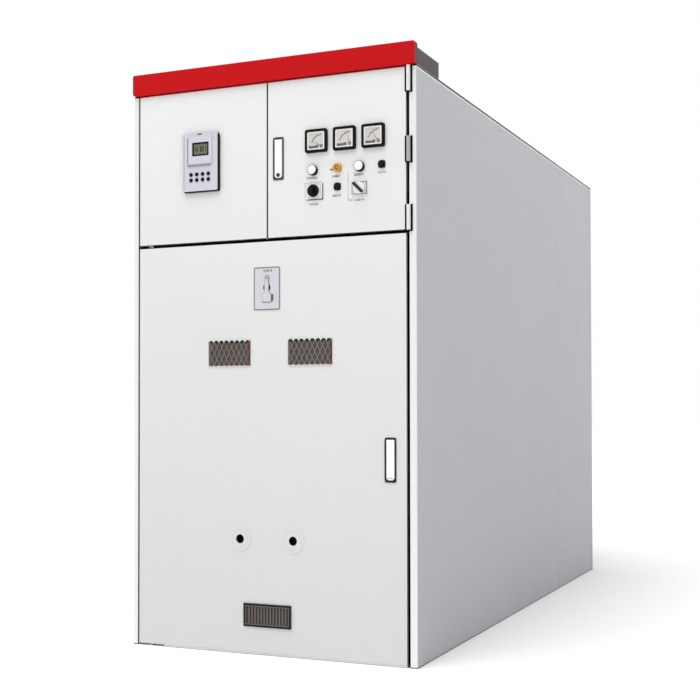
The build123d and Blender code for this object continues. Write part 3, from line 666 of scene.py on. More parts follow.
scaleSweep = meterFace["scaleTo"] - meterFace["scaleFrom"]
scaleLayers = [dialFront + offset for offset in meterFace["print"]]
bm = bmesh.new()
for x in meterXs:
    pivot = (x + meterFace["pivot"][0], meterZ + meterFace["pivot"][1])
    radius = meterFace["scaleRadius"]
    count = meterFace["tickCount"]
    for i in range(count):
        degrees = meterFace["scaleFrom"] + scaleSweep * i / (count - 1)
        length, half = meterFace["shortTick"] if i % meterFace["longEvery"] else meterFace["longTick"]
        loop = [polar(pivot, radius, degrees - half), polar(pivot, radius + length, degrees - half),
                polar(pivot, radius + length, degrees + half), polar(pivot, radius, degrees + half)]
        prismShape(bm, [(loop, y) for y in scaleLayers])
    steps = meterFace["scaleSteps"]
    turns = [meterFace["scaleFrom"] + scaleSweep * i / steps for i in range(steps + 1)]
    arc = [polar(pivot, radius, a) for a in turns]
    arc += [polar(pivot, radius - meterFace["scaleWidth"], a) for a in reversed(turns)]
    prismShape(bm, [(arc, y) for y in scaleLayers])
emit("meterScales", bm, "instrument_door", "meter_black", "knob_grey")

bm = bmesh.new()
coverFront = dialFront - meterFace["coverLift"]
for x, degrees in zip(meterXs, meterFace["needleAngles"]):
    pivot = (x + meterFace["pivot"][0], meterZ + meterFace["pivot"][1])
    half = meterFace["needleWidth"] / 2
    loop = [polar(pivot, half, degrees - 90), polar(pivot, meterFace["needleLength"], degrees),
            polar(pivot, half, degrees + 90)]
    prismShape(bm, [(loop, dialFront - lift) for lift in meterFace["needleLift"]])
    hole = meterFace["pivotRadius"] * meterFace["pivotHole"]
    ringShape(bm, circleLoop(*pivot, meterFace["pivotRadius"], fewSteps), circleLoop(*pivot, hole, fewSteps),
              coverFront, dialFront, meterFace["rimSoft"])
    cover = [(x + dx, meterZ + dz) for dx, dz in meterFace["cover"]]
    prismShape(bm, [(cover, coverFront), (cover, dialFront)])
emit("meterNeedles", bm, "instrument_door", "tray_grey")

screw = {
    "radius": 0.0042,
    "height": 0.0015,
    "layers": ((0.72, 1.0), (0.94, 0.7), (1.0, 0.0)),
    "slotWidth": 0.0014,
    "slotLength": 0.62,
    "slotLayers": (1.06, 0.8),
    "slotTurn": 1.2,
    "seed": 7,
    "inset": 0.006,
}


# Round head at the origin that faces -Y
def screwHead():
    made = bmesh.new()
    prismShape(made, [(circleLoop(0, 0, screw["radius"] * reach, fewSteps), -screw["height"] * rise)
                      for reach, rise in screw["layers"]])
    return made


# Dark slot that lies on the screw head
def screwSlot():
    made = bmesh.new()
    x = screw["radius"] * screw["slotLength"]
    z = screw["slotWidth"] / 2
    front, back = [-screw["height"] * rise for rise in screw["slotLayers"]]
    boxShape(made, (-x, front, -z), (x, back, z))
    return made


screwPlaces = []
dropX = dialWidth / 2 - meterFace["lightRim"] - screw["inset"]
dropZ = dialHeight / 2 - meterFace["lightRim"] - screw["inset"]
for index, x in enumerate(meterXs):
    screwPlaces.append((x + dropX, dialFront, meterZ + dropZ))
    if index:
        screwPlaces.append((x - dropX, dialFront, meterZ + dropZ))
repeatPiece("meterScrews", screwHead(), screwPlaces, "instrument_door", "hinge_zinc")
repeatPiece("meterScrewSlots", screwSlot(), screwPlaces, "instrument_door", "key_black",
            screw["slotTurn"], screw["seed"])
print("stage: meters")


# Lamps
lamps = {"sleeve": 0.0009, "lensDrop": 0.0022, "rim": 0.0006, "soft": 0.0003}
lampShadow = {"right": 0.0022, "down": 0.0026, "grow": 0.0005, "lift": 0.0065}
lampLow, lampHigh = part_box("white_lamps")
lampZ = (lampLow.z + lampHigh.z) / 2
lampRadius = (lampHigh.z - lampLow.z) / 2
lampXs = (lampLow.x + lampRadius, lampHigh.x - lampRadius)
lensRadius = lampRadius - lamps["sleeve"]
bm = bmesh.new()
for x in lampXs:
    prismShape(bm, domeLoops(x, lampZ, lensRadius, lampLow.y, lampLow.y + lamps["lensDrop"]))
lenses = emit("whiteLenses", bm, "instrument_door", "lamp_white")
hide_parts("white_lamps")
bm = bmesh.new()
for x in lampXs:
    ringShape(bm, circleLoop(x, lampZ, lampRadius), circleLoop(x, lampZ, lensRadius),
              lampLow.y + lamps["rim"], lampHigh.y, lamps["soft"])
# Painted shadow: a dark disc set right of and below each collar
for x in lampXs:
    loop = circleLoop(x + lampShadow["right"], lampZ - lampShadow["down"], lampRadius + lampShadow["grow"])
    prismShape(bm, [(loop, frontY - lampShadow["lift"]), (loop, frontY)])
emit("lampSleeves", bm, "instrument_door", "button_black")

# Raised rings of the yellow lamp, painted shade in its groove, and its side mark
yellow = {
    "outer": 0.86,
    "groove": 0.52,
    "middle": 0.3,
    "rise": 0.0022,
    "soft": 0.0012,
    "middleRise": 0.0018,
    "grooveRise": 0.0004,
    "markReach": (0.017, 0.0003),
    "markDrop": (0.008, 0.003),
    "markHeight": 0.003,
    "markSoft": 0.001,
}
x, z, width, height = frontOf("yellow_lamp")
radius = width / 2
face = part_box("yellow_lamp")[0].y
groove = circleLoop(x, z, radius * yellow["groove"])
middle = radius * yellow["middle"]
bm = bmesh.new()
outer = circleLoop(x, z, radius * yellow["outer"])
ringShape(bm, outer, groove, face - yellow["rise"], face, yellow["soft"])
prismShape(bm, domeLoops(x, z, middle, face - yellow["middleRise"], face))
emit("yellowLensRings", bm, "instrument_door", "lamp_yellow")
bm = bmesh.new()
# Painted shade: a dark ring in the groove between the outer ring and the middle dome
ringShape(bm, groove, circleLoop(x, z, middle), face - yellow["grooveRise"], face)
low = (x - radius - yellow["markReach"][0], frontY - yellow["markHeight"], z - yellow["markDrop"][0])
high = (x - radius - yellow["markReach"][1], frontY, z - yellow["markDrop"][1])
boxShape(bm, low, high, yellow["markSoft"])
emit("yellowLampMarks", bm, "instrument_door", "filter_brown")
print("stage: lamps")


# Switch plates with the painted shadow of the selector plate, and the changeover knob
selector = {
    "plate": 0.004,
    "shadowShift": 0.0038,
    "shadowThickness": 0.0025,
    "shadowInset": (0.004, 0.002),
    "lines": ((1.0, 0.0015), (0.8, 0.0012)),
    "lineHeight": 0.0004,
    "soft": 0.0002,
    "corners": (0.004, 0.003),
}
plateX, plateZ, plateWidth, plateHeight = frontOf("selector_switch")
plateFace = frontY - selector["plate"]
# Painted shadow: a dark plate set right of and below the selector plate
bm = bmesh.new()
loop = roundedLoop(plateX + selector["shadowShift"], plateZ - selector["shadowShift"],
                   plateWidth - selector["shadowInset"][0], plateHeight - selector["shadowInset"][1],
                   selector["corners"][0])
prismShape(bm, [(loop, frontY - selector["shadowThickness"]), (loop, frontY)])
emit("selectorUnderlay", bm, "instrument_door", "knob_grey")
bm = bmesh.new()
for extent, line in selector["lines"]:
    width = plateWidth * extent
    height = plateHeight * extent
    loops = rimLoops(plateX, plateZ, width, height, line, selector["corners"])
    ringShape(bm, *loops, plateFace - selector["lineHeight"], plateFace, selector["soft"])
emit("selectorOutline", bm, "instrument_door", "switch_grey", "line_grey")

changeover = {
    "strip": 0.0055,
    "stripHeight": 0.0003,
    "outline": 0.0026,
    "outlineHeight": 0.0006,
    "soft": 0.0002,
    "corners": (0.005, 0.003),
}
plateLow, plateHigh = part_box("changeover_switch")
x, z, width, height = frontOf("changeover_switch")
strip = changeover["strip"]
bm = bmesh.new()
for low, high in ((plateLow.z, plateLow.z + strip), (plateHigh.z - strip, plateHigh.z)):
    boxShape(bm, (plateLow.x, plateFace - changeover["stripHeight"], low), (plateHigh.x, plateFace, high))
emit("changeoverStrips", bm, "instrument_door", "front_paint")
bm = bmesh.new()
loops = rimLoops(x, z, width, height - 2 * strip, changeover["outline"], changeover["corners"])
ringShape(bm, *loops, plateFace - changeover["outlineHeight"], plateFace, changeover["soft"])
emit("changeoverOutline", bm, "instrument_door", "tray_grey")


def turnedLoop(x, z, width, height, radius, degrees):
    angle = math.radians(degrees)
    cosine = math.cos(angle)
    sine = math.sin(angle)
    return [(x + u * cosine - v * sine, z + u * sine + v * cosine)
            for u, v in roundedLoop(0, 0, width, height, radius, 4)]


knob = {
    "radius": 0.025,
    "gap": 0.0045,
    "disc": 0.009,
    "chamfer": 0.0015,
    "bar": (0.056, 0.0115),
    "barCorner": 0.003,
    "barChamfer": 0.001,
    "turn": -45,
}
changeLow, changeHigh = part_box("changeover_knob")
changeAt = (changeLow + changeHigh) / 2
discBack = frontY - knob["gap"]
discFront = discBack - knob["disc"]
bm = bmesh.new()
loop = circleLoop(changeAt.x, changeAt.z, knob["radius"])
face = circleLoop(changeAt.x, changeAt.z, knob["radius"] - knob["chamfer"])
prismShape(bm, [(face, discFront), (loop, discFront + knob["chamfer"]), (loop, discBack)])
discPiece = emit("changeoverDisc", bm, "changeover_knob", "knob_grey", "lever_white")
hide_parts("changeover_knob")
bm = bmesh.new()
length, width = knob["bar"]
ease = knob["barChamfer"]
corner = knob["barCorner"]
turn = knob["turn"]
bar = turnedLoop(changeAt.x, changeAt.z, length, width, corner, turn)
topBar = turnedLoop(changeAt.x, changeAt.z, length - 2 * ease, width - 2 * ease, corner - ease / 2, turn)
prismShape(bm, [(topBar, changeLow.y), (bar, changeLow.y + ease), (bar, discFront)])
emit("changeoverBar", bm, "changeover_knob", "knob_grey")
print("stage: switches")


# Controller: display bezel, keys, bars on the display, small marks and lines, and its painted shadow
controller = {
    "bezel": 0.0075,
    "bezelCorners": (0.003, 0.002),
    "bezelSoft": 0.0006,
    "keyDome": 0.0014,
    "keyRowGap": 0.025,
    "keyFill": 0.93,
    "keyColumns": 4,
    "columns": 9,
    "blankEvery": 4,
    "barHeight": 0.66,
    "barHalfWidths": (0.16, 0.3),
    "barLengths": (0.75, 1.0),
    "sideMargin": 0.012,
    "print": (0.0003, 0.0001),
    "seed": 4,
    "shadowShift": (0.0045, -0.006),
    "shadowThickness": 0.012,
    "shadowCorner": 0.008,
    "shadowInset": 0.002,
    "lineRise": 0.557,
    "lineSpan": (0.17, 0.82),
    "lineHalf": 0.0012,
    "sideLine": (0.165, 0.175),
    "sideLineFoot": 0.004,
    "sideLineTop": 0.07,
    "lineLift": 0.0002,
    "lineDepth": 0.004,
}
screenX, screenZ, screenWidth, screenHeight = frontOf("controller_display")
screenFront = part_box("controller_display")[0].y
housingLow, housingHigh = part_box("controller_housing")
caseX, caseZ, caseWidth, caseHeight = frontOf("controller_housing")
bezel = controller["bezel"]
bm = bmesh.new()
loops = rimLoops(screenX, screenZ, screenWidth, screenHeight, bezel, controller["bezelCorners"])
ringShape(bm, *loops, housingLow.y, screenFront, controller["bezelSoft"])
emit("displayBezel", bm, "cabinet", "key_black")

keyLow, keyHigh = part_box("controller_keys")
keyRadius = (keyHigh.z - keyLow.z - controller["keyRowGap"]) / 2
bm = bmesh.new()
prismShape(bm, domeLoops(0, 0, keyRadius * controller["keyFill"], -controller["keyDome"], 0.0, someSteps, 4))
keyPlaces = []
keyPitch = (keyHigh.x - keyLow.x - 2 * keyRadius) / (controller["keyColumns"] - 1)
for i in range(controller["keyColumns"]):
    x = keyLow.x + keyRadius + keyPitch * i
    keyPlaces += [(x, keyLow.y, keyLow.z + keyRadius), (x, keyLow.y, keyHigh.z - keyRadius)]
repeatPiece("keyDomes", bm, keyPlaces, "cabinet", "key_black")

bm = bmesh.new()
random.seed(controller["seed"])
innerWidth = screenWidth - 2 * bezel - controller["sideMargin"]
innerHeight = screenHeight - 2 * bezel
columns = controller["columns"]
front = screenFront - controller["print"][0]
back = screenFront + controller["print"][1]
for column in range(columns):
    if column % controller["blankEvery"] == controller["blankEvery"] - 1:
        continue
    x = screenX + innerWidth * ((column + 0.5) / columns - 0.5)
    halfX = innerWidth / columns * random.uniform(*controller["barHalfWidths"])
    halfZ = innerHeight * controller["barHeight"] / 2 * random.uniform(*controller["barLengths"])
    boxShape(bm, (x - halfX, front, screenZ - halfZ), (x + halfX, back, screenZ + halfZ))
emit("displaySegments", bm, "cabinet", "key_black")

topMark = {"halfWidth": 0.010, "lift": (0.0045, 0.0035), "drop": (0.006, 0.001), "soft": 0.0003}
sideMark = {"inset": (0.009, 0.0102), "lift": (0.0044, 0.0038), "margin": 0.008}
bm = bmesh.new()
caseBack = housingHigh.y
half = topMark["halfWidth"]
front, back = [caseBack - lift for lift in topMark["lift"]]
low, top = [housingHigh.z - drop for drop in topMark["drop"]]
boxShape(bm, (caseX - half, front, low), (caseX + half, back, top), topMark["soft"])
left, right = [housingLow.x + inset for inset in sideMark["inset"]]
front, back = [caseBack - lift for lift in sideMark["lift"]]
low = housingLow.z + sideMark["margin"]
top = housingHigh.z - sideMark["margin"]
boxShape(bm, (left, front, low), (right, back, top))
emit("controllerMarks", bm, "cabinet", "key_black")
# Painted shadow: a black plate set right of and below the controller
bm = bmesh.new()
shiftX, shiftZ = controller["shadowShift"]
height = caseHeight - controller["shadowInset"]
loop = roundedLoop(caseX + shiftX, caseZ + shiftZ, caseWidth, height, controller["shadowCorner"])
prismShape(bm, [(loop, frontY - controller["shadowThickness"]), (loop, frontY)])
emit("controllerUnderlay", bm, "cabinet", "button_black")
bm = bmesh.new()
lineZ = housingHigh.z - controller["lineRise"] * caseHeight
half = controller["lineHalf"]
front = housingLow.y - controller["lineLift"]
back = housingLow.y + controller["lineDepth"]
left, right = [housingLow.x + share * caseWidth for share in controller["lineSpan"]]
boxShape(bm, (left, front, lineZ - half), (right, back, lineZ + half))
left, right = [housingLow.x + share * caseWidth for share in controller["sideLine"]]
boxShape(bm, (left, front, lineZ + controller["sideLineFoot"]),
         (right, back, housingHigh.z - controller["sideLineTop"] * caseHeight))
emit("controllerLines", bm, "cabinet", "key_black", "line_grey")
print("stage: controller")


# Painted shadow: dark plates beside and below the hinge barrels
hinge = {
    "length": 0.104,
    "middleDrop": 0.005,
    "postShadowSpan": (0.006, 0.0148),
    "doorShadowSpan": (-0.019, -0.012),
    "shadowPlateThickness": 0.0034,
    "shadowGrow": 0.002,
    "foot": 0.004,
    "shadowFootReach": 0.011,
}
fixedLow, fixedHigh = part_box("fixed_hinge_knuckles")
swungLow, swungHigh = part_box("door_hinge_knuckles")
hingeX = (fixedHigh.x + swungLow.x) / 2
topFoot = swungHigh.z - hinge["length"]
hingeFeet = [fixedLow.z, (fixedLow.z + topFoot) / 2 - hinge["middleDrop"], topFoot]
shadowFront = frontY - hinge["shadowPlateThickness"]
for name, body, span in (
    ("postHingePads", "cabinet", hinge["postShadowSpan"]),
    ("doorHingePads", "instrument_door", hinge["doorShadowSpan"]),
):
    bm = bmesh.new()
    for foot in hingeFeet:
        low = foot - hinge["shadowGrow"]
        top = min(foot + hinge["length"] + hinge["shadowGrow"], doorHigh.z)
        boxShape(bm, (hingeX + span[0], shadowFront, low), (hingeX + span[1], frontY, top))
        if body == "cabinet":
            boxShape(bm, (hingeX - hinge["shadowFootReach"], shadowFront, low - hinge["foot"]),
                     (hingeX + span[1], frontY, low))
    emit(name, bm, body, "seal_rubber")


# Black strips that line the gaps round the doors, part rubber seal and part painted shade, with laps over
# the front that are painted shade: edges, slot, and whether they lap over the front
sealAndShadeStrip = {
    "thickness": 0.0008,
    "front": 0.0028,
    "back": 0.0295,
    "inset": 0.003,
    "lap": 0.0026,
    "proud": 0.0004,
}
strips = {
    "mainDoor": ("main_door_panel", "main_door", ("right", "top"), "seal_rubber", True),
    "instrumentDoor": ("instrument_door_panel", "instrument_door", ("right", "bottom"), "seal_rubber", True),
    "controllerFoot": ("controller_panel", "cabinet", ("bottom",), "seal_rubber", True),
    "controllerSide": ("controller_panel", "cabinet", ("right",), "tray_grey", False),
}


# Strip of a thickness that stands on an edge of a panel, or that lies inside it where thick is negative
def edgeBox(bm, low, high, edge, inset, thick, y):
    x = [low.x + inset, high.x - inset]
    z = [low.z + inset, high.z - inset]
    if edge == "right":
        x = sorted((high.x, high.x + thick))
    elif edge == "top":
        z = sorted((high.z, high.z + thick))
    else:
        z = sorted((low.z, low.z - thick))
    boxShape(bm, (x[0], y[0], z[0]), (x[1], y[1], z[1]))


for name, (node, body, edges, slotName, laps) in strips.items():
    bm = bmesh.new()
    low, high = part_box(node)
    for edge in edges:
        edgeBox(bm, low, high, edge, sealAndShadeStrip["inset"], sealAndShadeStrip["thickness"],
                (low.y + sealAndShadeStrip["front"], low.y + sealAndShadeStrip["back"]))
        # Painted shade: a dark strip lapped over the front face along the edge
        if laps:
            edgeBox(bm, low, high, edge, 0.0, -sealAndShadeStrip["lap"], (low.y - sealAndShadeStrip["proud"], low.y))
    emit(name + "Gasket", bm, body, slotName)

# Dark strips down the inner sides of the posts, part seal and part painted shade in the gaps
jamb = {"back": 0.068, "foot": 0.004}
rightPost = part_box("right_front_post")[0].x
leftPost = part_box("left_front_post")[1].x
for name, left, look in (
    ("rightJambGasket", rightPost - sealAndShadeStrip["thickness"], "seal_rubber"),
    ("leftJambGasket", leftPost, "tray_grey"),
):
    bm = bmesh.new()
    boxShape(bm, (left, frontY + sealAndShadeStrip["front"], jamb["foot"]),
             (left + sealAndShadeStrip["thickness"], frontY + jamb["back"], doorHigh.z))
    emit(name, bm, "cabinet", "seal_rubber", look)

# Pale skirt below the main door
skirt = {"low": 0.002, "setback": 0.0005, "thickness": 0.002, "leftInset": 0.135, "rightInset": 0.001}
bm = bmesh.new()
front = mainLow.y + skirt["setback"]
boxShape(bm, (mainLow.x + skirt["leftInset"], front, skirt["low"]),
         (mainHigh.x - skirt["rightInset"], front + skirt["thickness"], mainLow.z + skirt["setback"]))
emit("doorSkirt", bm, "main_door", "front_paint")
print("stage: hinges and gaskets")


# Lock of the instrument handle, painted shade at the foot of the main one and dark outlines of both trays
lock = {
    "radius": 0.0095,
    "height": 0.0016,
    "soft": 0.0005,
    "rise": 0.0125,
    "hole": 0.6,
    "core": 0.62,
    "coreLayers": (-0.0008, 0.0002),
    "slot": (0.0008, 0.004),
    "slotLayers": (-0.0012, -0.0006),
}
leverLow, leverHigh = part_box("instrument_handle_lever")
x = (leverLow.x + leverHigh.x) / 2
z = leverLow.z + lock["rise"]
face = leverLow.y
bm = bmesh.new()
outer = circleLoop(x, z, lock["radius"], someSteps)
inner = circleLoop(x, z, lock["radius"] * lock["hole"], someSteps)
ringShape(bm, outer, inner, face - lock["height"], face, lock["soft"])
emit("instrumentLockRing", bm, "instrument_handle", "lever_white", "line_grey")
bm = bmesh.new()
loop = circleLoop(x, z, lock["radius"] * lock["core"], someSteps)
prismShape(bm, [(loop, face + layer) for layer in lock["coreLayers"]])
halfX, halfZ = lock["slot"]
front, back = [face + layer for layer in lock["slotLayers"]]
boxShape(bm, (x - halfX, front, z - halfZ), (x + halfX, back, z + halfZ))
emit("instrumentLockCore", bm, "instrument_handle", "key_black")

leverFoot = {"rise": 0.008, "size": (0.026, 0.006), "corner": 0.0025, "layers": (-0.0004, 0.0002)}
leverLow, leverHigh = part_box("main_handle_lever")
# Painted shade: a pale grey patch near the lower end of the main lever
bm = bmesh.new()
loop = roundedLoop((leverLow.x + leverHigh.x) / 2, leverLow.z + leverFoot["rise"], *leverFoot["size"],
                   leverFoot["corner"])
prismShape(bm, [(loop, leverLow.y + layer) for layer in leverFoot["layers"]])
emit("mainLeverFoot", bm, "main_handle", "lever_white", "line_pale")

outline = {"corner": 0.013, "width": 0.0028, "height": 0.0005, "soft": 0.0002}
for trayNode, body, name, look in (
    ("instrument_handle_tray", "instrument_door", "instrumentHandleOutline", "tray_grey"),
    ("main_handle_tray", "main_door", "mainHandleOutline", "knob_grey"),
):
    bm = bmesh.new()
    corners = (outline["corner"], outline["corner"] - outline["width"])
    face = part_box(trayNode)[0].y
    loops = rimLoops(*frontOf(trayNode), outline["width"], corners)
    ringShape(bm, *loops, face - outline["height"], face, outline["soft"])
    emit(name, bm, body, "tray_grey", look)
print("stage: handles")


# Emergency plate: border, dark hole, stop, bar row and the painted shadow round its cover
plate = {
    "border": 0.0052,
    "corners": (0.008, 0.005),
    "height": 0.00015,
    "thickness": 0.0025,
    "hole": (0.004, 0.018),
    "holeLayers": (0.0012, 0.0021),
    "stop": (0.029, -0.040, 0.008, 0.028),
    "stopProud": 0.003,
    "stopCap": 0.0003,
    "barRow": (0.004, 0.078, 0.044),
    "edge": 0.003,
    "pinDot": 0.0034,
}
plateX, plateZ, plateWidth, plateHeight = frontOf("emergency_plate")
plateFront = frontY - plate["thickness"]
bm = bmesh.new()
loops = rimLoops(plateX, plateZ, plateWidth, plateHeight, plate["border"], plate["corners"])
ringShape(bm, *loops, plateFront - plate["height"], plateFront, plate["height"] / 3)
emit("emergencyBorder", bm, "main_door", "plate_aluminium", "line_grey")
bm = bmesh.new()
shiftX, rise, rowWidth = plate["barRow"]
barRow(bm, plateX + shiftX, plateZ + rise, rowWidth, plateFront)
shiftX, rise, stopWidth, stopHeight = plate["stop"]
x = plateX + shiftX
z = plateZ + rise
face = plateFront - plate["stopProud"]
boxShape(bm, (x - stopWidth / 2, face - plate["stopCap"], z - stopHeight / 2),
         (x + stopWidth / 2, face, z + stopHeight / 2))
emit("emergencyMarks", bm, "main_door", "plate_aluminium", "tray_grey")
bm = bmesh.new()
rise, radius = plate["hole"]
loop = circleLoop(plateX, plateZ + rise, radius)
prismShape(bm, [(loop, plateFront + layer) for layer in plate["holeLayers"]])
emit("emergencyHole", bm, "main_door", "button_black")

# Bottle shape of the cover: half widths and heights below its pin
cover = {
    "neck": 0.009,
    "neckDrop": 0.058,
    "shoulder": 0.074,
    "foot": 0.0215,
    "length": 0.104,
    "corner": 0.004,
    "coverShadowDepth": 0.0003,
    "pinLayers": (-0.0004, 0.0002),
}
flapLow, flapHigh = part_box("emergency_flap")
flapX = (flapLow.x + flapHigh.x) / 2
pinZ = flapHigh.z - cover["neck"]


def bottleLoop(grow):
    neck = cover["neck"] + grow
    foot = cover["foot"] + grow
    low = -cover["length"] - grow
    turns = [math.radians(a) for a in range(0, 91, 10)]
    right = [(neck * math.sin(a), neck * math.cos(a)) for a in turns]
    right += [(neck, -cover["neckDrop"]), (foot, -cover["shoulder"]), (foot, low + cover["corner"]),
              (foot - cover["corner"], low)]
    left = [(-x, z) for x, z in reversed(right[1:])]
    return [(flapX + x, pinZ + z) for x, z in right + left]


# Painted shadow: the cover's outline grown by the plate's edge width, just behind the cover
bm = bmesh.new()
loop = bottleLoop(plate["edge"])
prismShape(bm, [(loop, flapHigh.y), (loop, flapHigh.y + cover["coverShadowDepth"])])
emit("emergencyCoverEdge", bm, "emergency_flap", "plate_aluminium", "tray_grey")
bm = bmesh.new()
loop = circleLoop(flapX, pinZ, plate["pinDot"], fewSteps)
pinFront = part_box("emergency_plate")[0].y
prismShape(bm, [(loop, pinFront + layer) for layer in cover["pinLayers"]])
emit("emergencyPinDot", bm, "main_door", "plate_aluminium", "knob_grey")
print("stage: emergency plate")


# Scalloped edges of the mesh windows, painted shade in dark arches under them and a rusty right edge
window = {
    "width": 0.212,
    "count": 8,
    "notch": 0.010,
    "footNotch": 0.004,
    "thickness": 0.0006,
    "arch": 0.0115,
    "lip": (0.0005, 0.001),
    "shadow": 0.0042,
    "archSquash": (0.8, 0.55),
    "archDrop": 0.004,
    "archLayers": (-0.0003, 0.0002),
    "rust": 0.008,
    "rustInset": (0.004, 0.006),
    "rustHalf": 0.0002,
}
windowLow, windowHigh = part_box("mesh_windows")
windowFront = windowLow.y
windowStep = window["width"] / window["count"]
windowLefts = (windowLow.x, windowHigh.x - window["width"])
windowTurns = [math.radians(a) for a in range(0, 181, 20)]


# Strip along a window's edge with a round bite per opening
def scallopLoop(left, edgeZ, sign, depth):
    proud, spare = window["lip"]
    points = [(left, edgeZ + sign * proud)]
    for i in range(window["count"]):
        middle = left + windowStep * (i + 0.5)
        for angle in windowTurns:
            reach = (depth - spare) * math.sin(angle)
            points.append((middle - window["arch"] * math.cos(angle), edgeZ - sign * (depth - reach)))
    points.append((left + window["width"], edgeZ + sign * proud))
    return points


bm = bmesh.new()
for left in windowLefts:
    for edgeZ, sign, depth in ((windowHigh.z, 1, window["notch"]), (windowLow.z, -1, window["footNotch"])):
        loop = scallopLoop(left, edgeZ, sign, depth)
        prismShape(bm, [(loop, windowFront - window["thickness"]), (loop, windowFront)])
emit("windowScallops", bm, "main_door", "mesh_brown", "front_paint")

# Painted shade: a dark crescent under each arch
bm = bmesh.new()
outer, inner = window["arch"], window["arch"] - window["shadow"]
outerSquash, innerSquash = window["archSquash"]
arch = [(outer * math.cos(a), outer * math.sin(a) * outerSquash) for a in windowTurns]
arch += [(inner * math.cos(a), inner * math.sin(a) * innerSquash - window["archDrop"])
         for a in reversed(windowTurns)]
prismShape(bm, [(arch, layer) for layer in window["archLayers"]])
archZ = windowHigh.z - window["notch"]
archPlaces = [(left + windowStep * (i + 0.5), windowFront, archZ)
              for left in windowLefts for i in range(window["count"])]
repeatPiece("windowArches", bm, archPlaces, "main_door", "mesh_brown", look="knob_grey")
bm = bmesh.new()
half = window["rustHalf"]
for left in windowLefts:
    right = left + window["width"]
    boxShape(bm, (right - window["rust"], windowFront - half, windowLow.z + window["rustInset"][0]),
             (right, windowFront + half, windowHigh.z - window["rustInset"][1]))
emit("windowEdges", bm, "main_door", "mesh_brown", "edge_rust")
print("stage: windows")


# Vent border and the thin line inside it
vent = {
    "border": 0.0085,
    "borderCorners": (0.003, 0.002),
    "borderSoft": 0.0003,
    "thickness": 0.0005,
    "line": 0.0015,
    "lineCorners": (0.002, 0.001),
    "lineSoft": 0.0001,
}
x, z, width, height = frontOf("vent_grille")
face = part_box("vent_grille")[0].y
front = face - vent["thickness"]
edge = 2 * vent["border"]
bm = bmesh.new()
loops = rimLoops(x, z, width, height, vent["border"], vent["borderCorners"])
ringShape(bm, *loops, front, face, vent["borderSoft"])
emit("ventBorder", bm, "main_door", "mesh_brown", "rail_black")
bm = bmesh.new()
loops = rimLoops(x, z, width - edge, height - edge, vent["line"], vent["lineCorners"])
ringShape(bm, *loops, front, face + vent["thickness"], vent["lineSoft"])
emit("ventLine", bm, "main_door", "mesh_brown", "line_grey")

# Dark sleeves of the crank holes and a faint ring on each escutcheon
crank = {
    "hole": 0.020,
    "wall": 0.0015,
    "start": 0.002,
    "length": 0.026,
    "end": 0.002,
    "ring": (0.0405, 0.0392),
    "ringHalf": 0.0002,
}
crankLow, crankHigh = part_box("crank_escutcheons")
crankRadius = (crankHigh.z - crankLow.z) / 2
crankZ = (crankLow.z + crankHigh.z) / 2
crankXs = (crankLow.x + crankRadius, crankHigh.x - crankRadius)
sleeveFront = frontY + crank["start"]
sleeveBack = sleeveFront + crank["length"]
bm = bmesh.new()
for x in crankXs:
    loop = circleLoop(x, crankZ, crank["hole"] + crank["wall"])
    ringShape(bm, loop, circleLoop(x, crankZ, crank["hole"]), sleeveFront, sleeveBack)
    prismShape(bm, [(loop, sleeveBack), (loop, sleeveBack + crank["end"])])
emit("crankSleeves", bm, "main_door", "rail_black")
bm = bmesh.new()
for x in crankXs:
    outer, inner = [circleLoop(x, crankZ, reach) for reach in crank["ring"]]
    ringShape(bm, outer, inner, crankLow.y - crank["ringHalf"], crankLow.y + crank["ringHalf"])
emit("crankRings", bm, "main_door", "front_paint", "line_pale")
print("stage: vent and crank holes")


# Camera, light and backdrop
photo = {
    "place": (2.501, -5.848, 1.094),
    "pitch": 1.13,
    "roll": 0.18,
    "yaw": 21.35,
    "sensor": 36.0,
    "lens": 58.67,
    "shift": (-0.1286, 0.0429),
}
camera = bpy.data.objects.new("camera", bpy.data.cameras.new("camera"))
bpy.context.scene.collection.objects.link(camera)
camera.location = photo["place"]
camera.rotation_euler = [math.radians(a) for a in (90 + photo["pitch"], photo["roll"], photo["yaw"])]
camera.data.sensor_width = photo["sensor"]
camera.data.lens = photo["lens"]
camera.data.shift_x, camera.data.shift_y = photo["shift"]
bpy.context.scene.camera = camera

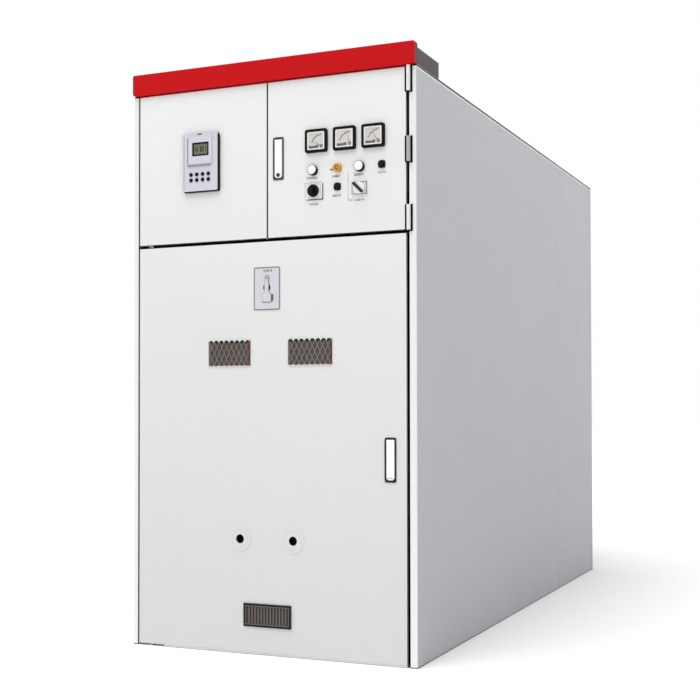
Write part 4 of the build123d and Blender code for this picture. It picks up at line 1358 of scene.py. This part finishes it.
light = {
    "sunStrength": 2.6,
    "sunAngle": 55.0,
    "sunFrom": (-0.05, -0.36, 0.93),
    "left": 0.7,
    "right": 0.26,
    "backdrop": 1.0,
    "white": (1.0, 1.0, 1.0, 1.0),
}
sun = bpy.data.objects.new("sun", bpy.data.lights.new("sun", "SUN"))
bpy.context.scene.collection.objects.link(sun)
sun.rotation_euler = Vector(light["sunFrom"]).to_track_quat("Z", "Y").to_euler()
sun.data.energy = light["sunStrength"]
sun.data.angle = math.radians(light["sunAngle"])

world = bpy.data.worlds.new("studio")
bpy.context.scene.world = world
world.use_nodes = True
tree = world.node_tree
tree.nodes.clear()
direction = tree.nodes.new("ShaderNodeTexCoord")
axes = tree.nodes.new("ShaderNodeSeparateXYZ")
tree.links.new(direction.outputs["Generated"], axes.inputs["Vector"])
level = addRange(tree, axes.outputs["X"], -1.0, 1.0, light["left"], light["right"])
rays = tree.nodes.new("ShaderNodeLightPath")
seen = addMath(tree, "MAXIMUM", rays.outputs["Is Camera Ray"], rays.outputs["Is Glossy Ray"])
seen = addMath(tree, "MAXIMUM", seen, rays.outputs["Is Transmission Ray"])
fill = addNode(tree, "ShaderNodeBackground", {"Color": light["white"]})
plain = addNode(tree, "ShaderNodeBackground", {"Color": light["white"], "Strength": light["backdrop"]})
tree.links.new(level, fill.inputs["Strength"])
mixer = tree.nodes.new("ShaderNodeMixShader")
tree.links.new(seen, mixer.inputs["Fac"])
tree.links.new(fill.outputs["Background"], mixer.inputs[1])
tree.links.new(plain.outputs["Background"], mixer.inputs[2])
output = tree.nodes.new("ShaderNodeOutputWorld")
tree.links.new(mixer.outputs["Shader"], output.inputs["Surface"])

floorLook = {"reach": 40.0, "color": (0.94, 0.94, 0.94, 1.0), "roughness": 0.9, "specular": 0.1}
bm = bmesh.new()
reach = floorLook["reach"]
corners = ((-reach, -reach), (reach, -reach), (reach, reach), (-reach, reach))
bm.faces.new([bm.verts.new((x, y, cadLow.z)) for x, y in corners])
floor = finishMesh("floor", bm)
floorMaterial = bpy.data.materials.new("floor")
floorMaterial.use_nodes = True
floorShader = floorMaterial.node_tree.nodes["Principled BSDF"]
floorShader.inputs["Base Color"].default_value = floorLook["color"]
floorShader.inputs["Roughness"].default_value = floorLook["roughness"]
floorShader.inputs["Specular IOR Level"].default_value = floorLook["specular"]
floor.data.materials.append(floorMaterial)
floor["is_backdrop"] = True

bpy.context.scene.view_settings.view_transform = "Standard"
print("stage: camera and light")

low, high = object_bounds()
